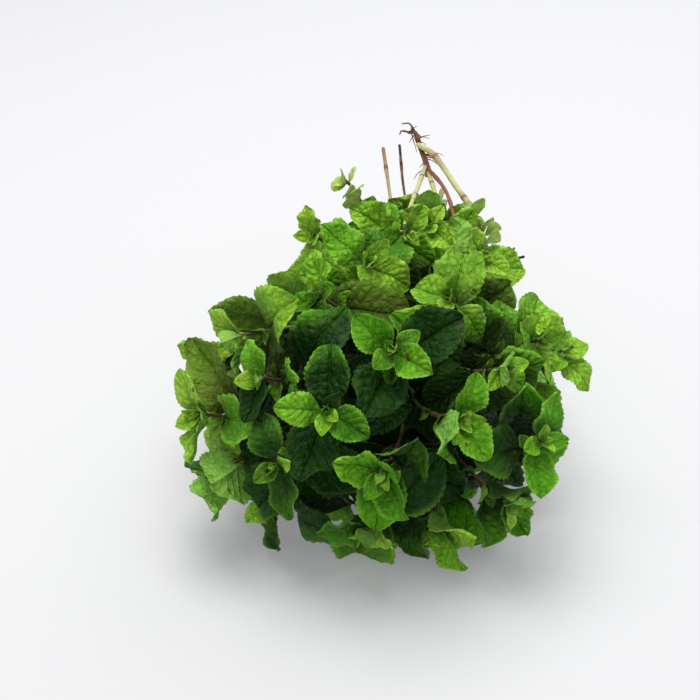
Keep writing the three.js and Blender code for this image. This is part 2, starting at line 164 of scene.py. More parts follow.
def corners_of(mesh: bpy.types.Mesh) -> np.ndarray:
    """A mesh's corners, one row for each.

    Args:
        mesh: the mesh.

    Returns:
        The corners' places, in the mesh's own units.
    """
    corners = np.empty(len(mesh.vertices) * 3)
    mesh.vertices.foreach_get("co", corners)
    return corners.reshape(-1, 3)


# ---------------------------------------------------------------- layout


@dataclass(frozen=True)
class PairSizes:
    """One pair of leaves on a stem, by its distance from the tip."""

    from_tip: float
    length: float
    lean: float
    arch: float


@dataclass(frozen=True)
class LeafKind:
    """How the leaves of a stem are proportioned, pair by pair from the tip."""

    width: float
    pairs: tuple[PairSizes, ...]


GROWN = LeafKind(0.74, (PairSizes(5, 24, 44, 30), PairSizes(17, 34, 60, 40), PairSizes(34, 41, 70, 48)))
YOUNG = LeafKind(0.9, (PairSizes(3, 11, 58, 20), PairSizes(15, 12, 75, 20)))


@dataclass(frozen=True)
class StemRow:
    """Where a stem's tip lies, seen from the front, the turn and size of its leaves, and how fresh their green
    is: partly their own tone, and below 0 partly painted shade on stems that lie low, in front or inside the
    bunch.

    In degrees, the clock is 0 at the top and 90 on the right; the spread is 0 in front and 180 behind.
    """

    name: str
    clock: float
    spread: float
    turn: float
    size: float
    pairs: int = 3
    freshness_and_shade: float = 0.0


# a row's value below 0 darkens its leaves: partly their own tone, partly painted shade on stems that lie low,
# in front or inside the bunch
STEM_ROWS = (
    StemRow("front", -12, 14, 60, 1.1, freshness_and_shade=-0.2),
    StemRow("centre", -28, 44, 75, 0.95, freshness_and_shade=-1.0),
    StemRow("centre_right", 30, 40, 10, 1.0),
    StemRow("centre_left", -76, 36, 45, 1.0, freshness_and_shade=-0.3),
    StemRow("low_front", -165, 30, 60, 1.12, freshness_and_shade=-0.7),
    StemRow("upper_left", -46, 66, 15, 0.95, freshness_and_shade=-0.4),
    StemRow("upper_middle", 0, 66, 50, 1.0, freshness_and_shade=-0.6),
    StemRow("upper_right", 37, 66, 30, 0.95, freshness_and_shade=0.3),
    StemRow("right", 74, 50, 0, 0.95, freshness_and_shade=-0.5),
    StemRow("low_right", 118, 42, 40, 1.0),
    StemRow("low_right_side", 163, 47, 65, 0.95),
    StemRow("low_left", -134, 60, 25, 1.1, freshness_and_shade=-0.2),
    StemRow("low_left_side", -112, 66, 95, 1.2),
    StemRow("under", 172, 72, 62, 1.05, freshness_and_shade=-0.8),
    StemRow("left", -84, 76, 40, 1.05, freshness_and_shade=0.7),
    StemRow("top_left", -52, 92, 50, 1.1, freshness_and_shade=0.8),
    StemRow("top", -22, 96, 20, 1.1, freshness_and_shade=-0.4),
    StemRow("top_right", 18, 94, 65, 1.05, freshness_and_shade=0.5),
    StemRow("right_top", 48, 88, 30, 0.95, freshness_and_shade=0.5),
    StemRow("right_side", 62, 92, 10, 1.0, freshness_and_shade=0.6),
    StemRow("under_right", 142, 96, 45, 1.0, freshness_and_shade=-0.8),
    StemRow("under_left", -140, 96, 60, 1.0, freshness_and_shade=-0.6),
    StemRow("back_left", -96, 108, 30, 1.0, freshness_and_shade=0.7),
    StemRow("back_top_left", -7, 106, 70, 1.1, freshness_and_shade=0.6),
    StemRow("back_top", 8, 124, 15, 0.75, freshness_and_shade=0.6),
    StemRow("back_top_right", 36, 118, 40, 0.8, freshness_and_shade=0.7),
    StemRow("back_right", 118, 114, 20, 0.9),
    StemRow("back_high", 24, 140, 45, 0.95, freshness_and_shade=1.0),
    StemRow("back_high_left", -44, 140, 25, 0.75, freshness_and_shade=0.7),
    StemRow("back_under", 178, 112, 55, 0.9, freshness_and_shade=-0.8),
)


FIRST_INNER_KEY = 10
FIRST_SMALL_KEY = 40
FIRST_AXIL_KEY = 50


@dataclass(frozen=True)
class ShootRow:
    """A short shoot at the back of the bunch, with the four points of the curve that it follows."""

    name: str
    route: tuple[Point, ...]
    turn: float
    size: float = 1.0
    kind: LeafKind = GROWN
    pairs: int = 2
    freshness_and_shade: float = 0.0


SHOOT_ROWS = (
    ShootRow("crown_shoot", ((18, 34, 70), (19, 50, 71), (20, 64, 73), (20, 70, 80)), 0, 0.8, GROWN, 2, 0.9),
    ShootRow(
        "crown_shoot_left", ((-4, 30, 70), (-5, 48, 71), (-5, 60, 75), (-5, 67, 80)), 30, 0.7, GROWN, 2, 0.9
    ),
    ShootRow(
        "crown_shoot_right", ((30, 24, 68), (33, 38, 69), (36, 50, 70), (38, 58, 75)), 60, 0.7, GROWN, 2, 1.2
    ),
    ShootRow("young_shoot_left", ((-4, 58, 69), (-8, 76, 73), (-14, 90, 82), (-21, 86, 91)), 45, 1.0, YOUNG),
    ShootRow("young_shoot_right", ((54, 56, 59), (53, 66, 62), (50, 75, 68), (46, 80, 75)), 20, 1.0, YOUNG),
)


class StalkSkin(Enum):
    """The looks a bare stalk can have, as the share of green in it and how dark its far end is."""

    DRY = (0.6, 0.4)
    DARK = (0.0, 0.9)
    RUNNER = (0.12, 0.25)
    PALE = (1.0, 0.0)
    FADED = (0.78, 0.15)
    RUSTY = (0.3, 0.1)
    ROOT = (0.1, 0.55)


@dataclass(frozen=True)
class TubeRow:
    """One tube of a stalk: the points it runs through, its thickness at both ends, and its skin."""

    through: tuple[Point, ...]
    start: float
    end: float
    skin: StalkSkin


@dataclass(frozen=True)
class StalkRow:
    """A stalk, twig or runner that replaces one solid."""

    name: str
    slot: str
    tubes: tuple[TubeRow, ...]


STALK_ROWS = (
    StalkRow("dry_stalk", "dry_stalk", (
        TubeRow(((5, 48, 71), (4, 96, 67), (0, 150, 77)), 0.9, 1.2, StalkSkin.DRY),
    )),
    StalkRow("dark_stalk", "dry_stalk", (
        TubeRow(((17, 58, 70), (11, 112, 69), (9, 150, 79)), 0.8, 0.9, StalkSkin.DARK),
    )),
    StalkRow("dry_twig", "dry_stalk", (
        TubeRow(((38, 34, 63), (52, 48, 62), (71, 53, 64)), 1.3, 0.7, StalkSkin.DARK),
        TubeRow(((57, 50, 61.5), (61, 52, 65), (66, 55, 68)), 0.8, 0.5, StalkSkin.DARK),
    )),
    StalkRow("rooted_runner", "runner", (
        TubeRow(
            ((15, 176, 74), (18, 170, 77), (21, 164, 71), (24, 158, 65), (26, 152, 59)),
            1.2, 2.3, StalkSkin.RUNNER,
        ),
        TubeRow(
            ((20, 165, 72), (28, 150, 73), (40, 124, 66), (47, 98, 66), (46, 56, 70)),
            1.9, 1.7, StalkSkin.PALE,
        ),
        TubeRow(((24, 157, 63), (19, 124, 68), (14, 84, 79), (9, 44, 87)), 1.5, 1.4, StalkSkin.PALE),
        TubeRow(((25, 155, 61), (28, 130, 61), (30, 106, 62), (30, 58, 67)), 1.5, 1.3, StalkSkin.FADED),
        TubeRow(((25, 156, 62), (33, 126, 65), (36, 102, 66), (37, 60, 69)), 1.3, 1.2, StalkSkin.RUSTY),
        TubeRow(((16, 174, 75), (11, 178, 74), (10, 182, 70)), 0.8, 0.4, StalkSkin.ROOT),
        TubeRow(((19, 169, 76), (15, 173, 81), (11, 173, 81)), 0.8, 0.4, StalkSkin.ROOT),
        TubeRow(((22, 161, 68), (30, 167, 63), (34, 171, 57)), 0.8, 0.4, StalkSkin.ROOT),
    )),
)


@dataclass
class Line:
    """A line from a stem's cut end: its points, directions, sides and the length up to each point."""

    at: np.ndarray
    along: np.ndarray
    across: np.ndarray = field(init=False)
    length: np.ndarray = field(init=False)

    def __post_init__(self) -> None:
        """Finds the sides, which turn as little as they can, and the lengths."""
        side = UP
        sides = []
        for along in self.along:
            side = unit(side - along * (side @ along))
            sides.append(side)
        self.across = np.array(sides)
        steps = np.linalg.norm(np.diff(self.at, axis=0), axis=1)
        self.length = np.concatenate(((0.0,), np.cumsum(steps)))

    @property
    def total(self) -> float:
        """The whole length."""
        return float(self.length[-1])

    def place(self, from_tip: float) -> tuple[np.ndarray, np.ndarray, np.ndarray]:
        """The point, direction and side at a distance back from the tip.

        Args:
            from_tip: the distance, in millimetres.

        Returns:
            The point, and the direction and side at length 1.
        """
        wanted = self.total - from_tip
        i = int(np.clip(np.searchsorted(self.length, wanted), 1, len(self.length) - 1))
        share = (wanted - self.length[i - 1]) / (self.length[i] - self.length[i - 1])
        along = unit(between(self.along[i - 1], self.along[i], share))
        across = between(self.across[i - 1], self.across[i], share)
        across = unit(across - along * (across @ along))
        return between(self.at[i - 1], self.at[i], share), along, across

    def spread(self, shares: np.ndarray) -> tuple[np.ndarray, np.ndarray, np.ndarray]:
        """Points, directions and sides at each share of the length from the cut end.

        Args:
            shares: shares of the length, from 0 to 1.

        Returns:
            One row of each for every share.
        """
        wanted = shares * self.total
        at, along, across = (
            np.stack([np.interp(wanted, self.length, values[:, axis]) for axis in range(3)], axis=1)
            for values in (self.at, self.along, self.across)
        )
        along = unit(along)
        across = unit(across - along * np.sum(across * along, axis=1, keepdims=True))
        return at, along, across


def bezier_line(route: tuple[np.ndarray, ...], samples: int = 64) -> Line:
    """A line along a cubic curve from its four points.

    Args:
        route: the curve's four points.
        samples: how many steps the line is cut into.

    Returns:
        The line.
    """
    a, b, c, d = (np.asarray(point, float) for point in route)
    t = np.linspace(0, 1, samples + 1)[:, None]
    s = 1 - t
    at = s**3 * a + 3 * s * s * t * b + 3 * s * t * t * c + t**3 * d
    along = s * s * (b - a) + 2 * s * t * (c - b) + t * t * (d - c)
    return Line(at, unit(along))


def spline_line(through: tuple[Point, ...], samples: int = 64) -> Line:
    """A line through points, by a centripetal spline, with its ends run straight on.

    Args:
        through: the points in order.
        samples: how many steps the line is cut into.

    Returns:
        The line, the same one as the solids follow.
    """
    points = [np.array(point, float) for point in through]
    points = [2 * points[0] - points[1], *points, 2 * points[-1] - points[-2]]
    spans = len(points) - 3

    def at_share(share: float) -> np.ndarray:
        """The point a share of the way along the spline.

        Args:
            share: the share, from 0 at the first point to 1 at the last.

        Returns:
            The point.
        """
        position = min(max(share, 0.0), 1.0) * spans
        span = min(int(position), spans - 1)
        p0, p1, p2, p3 = points[span : span + 4]
        d0, d1, d2 = (math.dist(a, b) ** 0.5 for a, b in ((p0, p1), (p1, p2), (p2, p3)))
        start = ((p1 - p0) / d0 - (p2 - p0) / (d0 + d1) + (p2 - p1) / d1) * d1
        stop = ((p2 - p1) / d1 - (p3 - p1) / (d1 + d2) + (p3 - p2) / d2) * d1
        w = position - span
        cubic = 2 * p1 - 2 * p2 + start + stop
        square = -3 * p1 + 3 * p2 - 2 * start - stop
        return p1 + start * w + square * w * w + cubic * w**3

    shares = np.linspace(0, 1, samples + 1)
    step = 1e-4
    at = np.array([at_share(s) for s in shares])
    ahead = np.array([at_share(s + step) for s in shares])
    behind = np.array([at_share(s - step) for s in shares])
    return Line(at, unit(ahead - behind))


@dataclass(frozen=True)
class Layout:
    """The head that the tips fill, the neck that all stems pass and the cut ends that they start from.

    Shortest and longest say how much of the way from its cut end to the neck a stem may lack, below 0 for more.
    """

    head: Point = (0.0, -70.0, 59.0)
    half_width: float = 88.0
    half_height: float = 52.0
    front: float = 72.0
    back: float = 150.0
    back_taper: float = 1.15
    neck: Point = (6.0, 8.0, 47.0)
    neck_radius: float = 18.0
    neck_room: float = 6.0
    cut_ends: Point = (26.0, 134.0, 34.0)
    splay: float = 1.05
    shortest: float = 0.24
    longest: float = -0.2
    tip_splay: float = 58.0
    tip_lift: float = 0.25
    tip_run: float = 68.0
    most_run: float = 0.4
    lowest_tip: float = 13.0
    most_downward: float = -0.22
    stray_aside: float = 0.55
    stray_down: float = 0.5
    stray_up: float = 0.3
    pushes: int = 80
    # painted shade: how deep inside the head it is full, where it ends, and how much narrower the head is
    # behind, as shares of its reach
    painted_shade_full_within: float = 0.62
    painted_shade_none_beyond: float = 1.1
    narrow_behind: float = 0.45

    def depth(self, points: np.ndarray) -> np.ndarray:
        """How deep inside the head each point lies, from 0 on its outside to 1 within, which sets the painted
        shade on the leaves there.

        Args:
            points: one row for each point.

        Returns:
            One number for each point.
        """
        away = points - np.array(self.head)
        reach = np.where(away[:, 1] < 0, self.front, self.back)
        narrower = 1 - self.narrow_behind * np.clip(away[:, 1] / reach, 0, 1)
        across, up = away[:, 0] / self.half_width / narrower, away[:, 2] / self.half_height / narrower
        far = np.sqrt(across**2 + (away[:, 1] / reach) ** 2 + up**2)
        return 1 - smooth(self.painted_shade_full_within, self.painted_shade_none_beyond, far)

    def places(self) -> list[np.ndarray]:
        """Where each stem runs across the bunch, pushed apart until there is room for each.

        Returns:
            Each stem's place beside the middle of the neck, in the order of the rows.
        """
        ranks = sorted(range(len(STEM_ROWS)), key=lambda i: STEM_ROWS[i].spread)
        places = []
        for i, row in enumerate(STEM_ROWS):
            clock = math.radians(row.clock)
            reach = self.neck_radius * math.sqrt((ranks.index(i) + 0.5) / len(STEM_ROWS))
            places.append(np.array((reach * math.sin(clock), 0.0, reach * math.cos(clock))))
        for _ in range(self.pushes):
            for i, a in enumerate(places):
                for b in places[i + 1 :]:
                    apart = b - a
                    far = math.hypot(apart[0], apart[2])
                    if far >= self.neck_room:
                        continue
                    apart *= (self.neck_room - far) / 2 / far
                    a -= apart
                    b += apart
        return places

    def line(self, row: StemRow, index: int, place: np.ndarray, shorter: float) -> Line:
        """The line of a stem from its cut end, through the neck of the bunch, to its tip.

        Args:
            row: where the stem's tip lies.
            index: the stem's number, which its draws go by.
            place: where the stem runs across the bunch.
            shorter: how much of the way to the neck is cut off its end.

        Returns:
            The line that the stem follows.
        """
        clock, spread = math.radians(row.clock), math.radians(row.spread)
        side = np.array((math.sin(clock), 0.0, math.cos(clock)))
        behind = row.spread > 90
        wide = math.sin(spread) ** (self.back_taper if behind else 1.0)
        tip = np.array(self.head)
        tip[0] += self.half_width * wide * side[0]
        tip[1] -= (self.back if behind else self.front) * math.cos(spread)
        tip[2] = max(self.lowest_tip, tip[2] + self.half_height * wide * side[2])
        splay = math.radians(self.tip_splay) * math.sin(spread)
        heading = side * math.sin(splay) + np.array((0.0, -math.cos(splay), 0.0))
        round_head = np.array((-side[2], 0.0, side[0]))
        heading += round_head * between(-self.stray_aside, self.stray_aside, draw(index, 0, Use.STRAY_ASIDE))
        heading[2] += self.tip_lift + between(-self.stray_down, self.stray_up, draw(index, 0, Use.STRAY_UP))
        heading[2] = max(heading[2], self.most_downward)
        heading = unit(heading)
        neck = np.array(self.neck) + place
        cut_end = np.array(self.cut_ends) + place * self.splay
        cut_end += (neck - cut_end) * shorter
        run = min(self.tip_run, self.most_run * math.dist(tip, cut_end))
        return bezier_line((cut_end, neck, tip - heading * run, tip))


# ---------------------------------------------------------------- leaves


@dataclass(frozen=True)
class Bend:
    """One way of bending a leaf clear of its neighbours."""

    size: float = 1.0
    yaw: float = 0.0
    lean: float = 0.0
    arch: float = 0.0


BEND_SIZES = (1, 0.84, 0.68)
BEND_YAWS = (0, 20, -20, 40, -40)
BEND_LEANS = (0, 14, -14, 28)
BEND_ARCHES = (0, 34, -30)


def ways_to_bend() -> Iterator[Bend]:
    """Every way that a leaf may have been bent, in the order in which they were tried.

    Returns:
        The bends, the same ones as the solids tried.
    """
    return itertools.starmap(Bend, itertools.product(BEND_SIZES, BEND_YAWS, BEND_LEANS, BEND_ARCHES))


@dataclass(frozen=True)
class BladeForm:
    """The sizes of a leaf blade and its stalk that every leaf shares.

    Fold and twist are in degrees. Each stray range is what a draw spreads over for one leaf: degrees for turn
    and lean, factors for the rest. A level leaf is pressed flat below the height press, and free above ease
    times that.
    """

    petiole_share: float = 0.12
    petiole: float = 1.0
    root: float = 0.4
    root_depth: float = 0.25
    tooth: float = 0.045
    fold: float = 16.0
    twist: float = 14.0
    solid_half: float = 0.4
    droop: float = 0.42
    press: float = 5.0
    ease: float = 3.0
    fine_lowest: float = 0.25
    least_arch: float = 0.01
    broad_base: float = 0.82
    blunt: float = 0.68
    stray_node: Range = (0.85, 1.15)
    stray_turn: Range = (-32, 32)
    stray_lean: Range = (-24, 20)
    stray_length: Range = (0.88, 1.12)
    stray_width: Range = (0.9, 1.08)
    stray_arch: Range = (0.1, 1.9)
    stray_fold: Range = (0.2, 1.6)
    stray_twist: Range = (-1.6, 1.6)

    @property
    def climb(self) -> float:
        """How much steeper than elsewhere a leaf rises where it comes free of the ground."""
        return self.ease / (self.ease - 1)

    def width_at(self, on_blade: np.ndarray) -> np.ndarray:
        """A blade's half width as a share of its greatest, from its base at 0 to its tip at 1."""
        return np.sin(np.pi * np.clip(on_blade, 0, 1) ** self.broad_base).clip(0) ** self.blunt

    def on_blade(self, along: np.ndarray) -> np.ndarray:
        """The share along the blade for a share along the whole leaf."""
        return (along - self.petiole_share) / (1 - self.petiole_share)


FORM = BladeForm()


@dataclass
class Leaf:
    """A leaf's own frame, sizes and bends, with angles in radians."""

    at: np.ndarray
    toward: np.ndarray
    face: np.ndarray
    length: float
    half_width: float
    arch: float
    fold: float
    twist: float
    stem: int
    key: int

    def frames(self, along: np.ndarray) -> tuple[np.ndarray, np.ndarray, np.ndarray]:
        """The middle line's points, faces and sides at each share along the leaf.

        Args:
            along: shares along the leaf.

        Returns:
            One row of each for every share.
        """
        arch = self.arch if abs(self.arch) >= FORM.least_arch else FORM.least_arch
        bent = (arch * along)[:, None]
        middle = self.at + self.toward * self.length * np.sin(bent) / arch
        middle = middle - self.face * self.length * (1 - np.cos(bent)) / arch
        facing = self.face * np.cos(bent) + self.toward * np.sin(bent)
        aside = np.cross(self.toward, self.face)
        twist = (self.twist * along)[:, None]
        cos, sin = np.cos(twist), np.sin(twist)
        return middle, facing * cos + aside * sin, aside * cos - facing * sin

    def solid_corners(self, along: np.ndarray, across: np.ndarray, reach: np.ndarray) -> np.ndarray:
        """Where the solid leaf's corners lie, on its upper and then on its lower face.

        Args:
            along: shares along the leaf.
            across: shares of the half width across it.
            reach: how far the teeth reach, as a factor.

        Returns:
            One row for each corner on the upper face, then one for each on the lower.
        """
        middle, facing, aside = self.frames(along)
        stalk = between(FORM.root, FORM.petiole, np.minimum(1, along / FORM.petiole_share))
        wide = np.maximum(stalk, self.half_width * reach * FORM.width_at(FORM.on_blade(along))) * across
        at = middle + aside * (wide * math.cos(self.fold))[:, None]
        at = at + facing * (np.abs(wide) * math.sin(self.fold))[:, None]
        height = at[:, 2] - FORM.solid_half
        press = FORM.press * np.abs(facing[:, 2])
        pressed = height < press
        near = ~pressed & (height < FORM.ease * press)
        at[pressed, 2] = FORM.solid_half
        at[near, 2] = FORM.solid_half + FORM.climb * (height - press)[near]
        facing[pressed] = UP * np.where(facing[pressed, 2:] < 0, -1.0, 1.0)
        return np.concatenate((at + facing * FORM.solid_half, at - facing * FORM.solid_half))


@dataclass
class Stem:
    """A stem laid out in the bunch, before it is made."""

    name: str
    index: int
    row: StemRow | ShootRow
    kind: LeafKind
    line: Line
    base: float
    tip: float

    def stray(self, reach: Range, key: int, use: Use) -> float:
        """A draw for one of this stem's leaves or pairs, spread over a range."""
        return between(*reach, draw(self.index, key, use))

    def node_from_tip(self, pair: int) -> float:
        """How far from the tip a pair of leaves grows."""
        return self.kind.pairs[pair].from_tip * self.stray(FORM.stray_node, pair, Use.NODE)

    def leaf(self, key: int, from_tip: float, turn: float, sizes: PairSizes, width: float, bend: Bend) -> Leaf:
        """One leaf of this stem.

        Args:
            key: the leaf's number on the stem, which its draws go by.
            from_tip: how far from the tip it grows.
            turn: degrees round the stem.
            sizes: its length, lean and arch.
            width: its width as a share of its length.
            bend: how it is bent clear of its neighbours.

        Returns:
            The leaf, in the frame that the bunch is laid out in.
        """
        at, along, across = self.line.place(from_tip)
        out = turned(across, along, math.radians(turn + bend.yaw))
        leant = math.radians(sizes.lean + self.stray(FORM.stray_lean, key, Use.LEAN) + bend.lean)
        toward = along * math.cos(leant) + out * math.sin(leant)
        toward[2] -= FORM.droop
        toward = unit(toward)
        face = along * math.sin(leant) - out * math.cos(leant)
        face = unit(face - toward * (face @ toward))
        length = sizes.length * self.row.size * bend.size
        length *= self.stray(FORM.stray_length, key, Use.LENGTH)
        return Leaf(
            at=at + toward * FORM.root_depth,
            toward=toward,
            face=face,
            length=length,
            half_width=length * width * self.stray(FORM.stray_width, key, Use.WIDTH) / 2,
            arch=math.radians(sizes.arch * self.stray(FORM.stray_arch, key, Use.ARCH) + bend.arch),
            fold=math.radians(FORM.fold * self.stray(FORM.stray_fold, key, Use.FOLD)),
            twist=math.radians(FORM.twist * self.stray(FORM.stray_twist, key, Use.TWIST)),
            stem=self.index,
            key=key,
        )

    def solid_leaf(self, pair: int, half: int, bend: Bend) -> Leaf:
        """A leaf of the solids, as it would be with this bend.

        Args:
            pair: which pair from the tip.
            half: which leaf of the pair.
            bend: how it is bent clear of its neighbours.

        Returns:
            The leaf.
        """
        key = pair * 2 + half
        turn = self.row.turn + 90 * pair + 180 * half + self.stray(FORM.stray_turn, key, Use.TURN)
        return self.leaf(key, self.node_from_tip(pair), turn, self.kind.pairs[pair], self.kind.width, bend)


@dataclass(frozen=True)
class LeafFinder:
    """Finds how each leaf of the solids was bent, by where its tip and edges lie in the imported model.

    The edges are tested at a share of the length where the solids have corners. It is another share for long,
    middling and short leaves.
    """

    near: float = 0.03
    wanted: int = 5
    long_leaf: float = 29.0
    middling_leaf: float = 17.0
    long_widest: float = 0.36
    middling_widest: float = 0.5
    short_widest: float = 0.68

    def corners(self, name: str) -> KDTree:
        """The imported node's corners, in millimetres in the frame that the bunch is laid out in.

        Args:
            name: the node's name.

        Returns:
            The corners, as a tree that finds the nearest one.
        """
        found = corners_of(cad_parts[name].data) / MM - BUNCH_TO_PART
        tree = KDTree(len(found))
        for i, corner in enumerate(found):
            tree.insert(corner, i)
        tree.balance()
        return tree

    def find(self, stem: Stem) -> list[Leaf]:
        """Every leaf that the solids have on this stem.

        Args:
            stem: the stem.

        Returns:
            The leaves, each bent as in the solids.
        """
        tree = self.corners(stem.name)
        leaves = []
        for pair in range(stem.row.pairs):
            for half in (0, 1):
                ways = (stem.solid_leaf(pair, half, bend) for bend in ways_to_bend())
                leaf = next((way for way in ways if self.fits(way, tree)), None)
                if leaf is not None:
                    leaves.append(leaf)
        return leaves

    def fits(self, leaf: Leaf, tree: KDTree) -> bool:
        """Whether the leaf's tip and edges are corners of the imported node.

        Args:
            leaf: the leaf.
            tree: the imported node's corners.

        Returns:
            True where enough of its corners are found.
        """
        widest, reach = self.short_widest, 1.0
        if leaf.length >= self.long_leaf:
            widest, reach = self.long_widest, 1 + FORM.tooth
        elif leaf.length >= self.middling_leaf:
            widest = self.middling_widest
        along = np.array((1.0, widest, widest))
        corners = leaf.solid_corners(along, np.array((0.0, -1.0, 1.0)), np.array((1.0, reach, reach)))
        if tree.find(corners[0])[2] > self.near and tree.find(corners[3])[2] > self.near:
            return False
        return sum(tree.find(corner)[2] < self.near for corner in corners) >= self.wanted


@dataclass
class Room:
    """The space already taken by leaves, as cells of a grid, for fitting further leaves between them."""

    low: Point = (-115.0, -170.0, -5.0)
    high: Point = (115.0, 200.0, 140.0)
    cell: float = 1.6
    taken: np.ndarray = field(init=False)

    def __post_init__(self) -> None:
        """Starts with every cell free."""
        shape = [int((b - a) / self.cell) + 3 for a, b in zip(self.low, self.high)]
        self.taken = np.zeros(shape, bool)

    def cells(self, points: np.ndarray) -> np.ndarray:
        """The cell that each point lies in."""
        cells = ((points - np.array(self.low)) / self.cell).astype(int) + 1
        return np.clip(cells, 1, np.array(self.taken.shape) - 2)

    def take(self, points: np.ndarray) -> None:
        """Takes the cells of these points and those beside them.

        Args:
            points: one row for each point.
        """
        x, y, z = self.cells(points).T
        for step in ((0, 0, 0), (1, 0, 0), (-1, 0, 0), (0, 1, 0), (0, -1, 0), (0, 0, 1), (0, 0, -1)):
            self.taken[x + step[0], y + step[1], z + step[2]] = True

    def crowded(self, points: np.ndarray) -> float:
        """The share of these points that lie in taken cells."""
        x, y, z = self.cells(points).T
        return float(self.taken[x, y, z].mean())


@dataclass
class Mould:
    """A form of even size, made once: every leaf, stem and stalk is a bent copy of one."""

    piece: bpy.types.Object | None = field(init=False, default=None)

    def finish(self, material: bpy.types.Material, attributes: tuple[str, ...]) -> np.ndarray:
        """Gives the mould its material and its attributes, once its mesh is made, and measures it.

        Args:
            material: what every copy is made of.
            attributes: the attributes' names.

        Returns:
            The mould's corners.
        """
        mesh = self.piece.data
        mesh.materials.append(material)
        for name in attributes:
            mesh.attributes.new(name, "FLOAT", "POINT")
        return corners_of(mesh)

    def copy_at(self, points: np.ndarray, **values: np.ndarray | float) -> bpy.types.Object:
        """A copy with its corners at the given points.

        Args:
            points: where each corner goes, in millimetres in the frame that the bunch is laid out in.
            values: each named attribute's value, one number or one for each corner.

        Returns:
            The copy, with a mesh of its own.
        """
        copy = self.piece.copy()
        copy.data = self.piece.data.copy()
        copy.data.vertices.foreach_set("co", ((points + BUNCH_TO_PART) * MM).ravel())
        for name, value in values.items():
            numbers = np.broadcast_to(value, len(points)).astype(float)
            copy.data.attributes[name].data.foreach_set("value", numbers)
        bpy.context.collection.objects.link(copy)
        return copy

    def remove(self) -> None:
        """Takes the mould out of the scene once its copies are made."""
        bpy.data.objects.remove(self.piece)


@dataclass
class LeafMould(Mould):
    """A flat leaf.

    Along it x runs from 0 at the stem to 1 at the tip, y from -1 to 1 across it, and its faces are at z +-0.5.
    """

    columns: int
    rows: int
    stalk_columns: int = 3
    along: np.ndarray = field(init=False)
    across: np.ndarray = field(init=False)
    layer: np.ndarray = field(init=False)

    def build(self, material: bpy.types.Material) -> None:
        """Makes the mould from a grid with its edge closed by a wall.

        Args:
            material: what every copy is made of.
        """
        deselect()
        bpy.ops.mesh.primitive_grid_add(x_subdivisions=self.columns, y_subdivisions=self.rows, size=2)
        self.piece = bpy.context.object
        self.space_columns(self.piece.data)
        wall = self.piece.modifiers.new("wall", "SOLIDIFY")
        wall.thickness = 1.0
        wall.offset = 0.0
        bpy.ops.object.modifier_apply(modifier=wall.name)
        self.along, self.across, height = self.finish(material, ("tone", "youth", "under")).T
        self.layer = np.sign(height)
        self.lay_pattern(self.piece.data)

    def space_columns(self, mesh: bpy.types.Mesh) -> None:
        """Moves the grid's columns so that a few of them cover the stalk and the rest the blade.

        Args:
            mesh: the flat grid.
        """
        corners = corners_of(mesh)
        column = (corners[:, 0] + 1) / 2 * self.columns
        share = FORM.petiole_share
        on_stalk = column / self.stalk_columns * share
        on_blade = share + (column - self.stalk_columns) / (self.columns - self.stalk_columns) * (1 - share)
        corners[:, 0] = np.where(column <= self.stalk_columns, on_stalk, on_blade)
        mesh.vertices.foreach_set("co", corners.ravel())

    def lay_pattern(self, mesh: bpy.types.Mesh) -> None:
        """Writes the pattern's coordinates: along the leaf, and across it from 0 to 1.

        Args:
            mesh: the closed mould.
        """
        index = np.empty(len(mesh.loops), int)
        mesh.loops.foreach_get("vertex_index", index)
        pattern = np.stack((self.along[index], self.across[index] / 2 + 0.5), axis=1)
        mesh.uv_layers.active.data.foreach_set("uv", pattern.ravel())


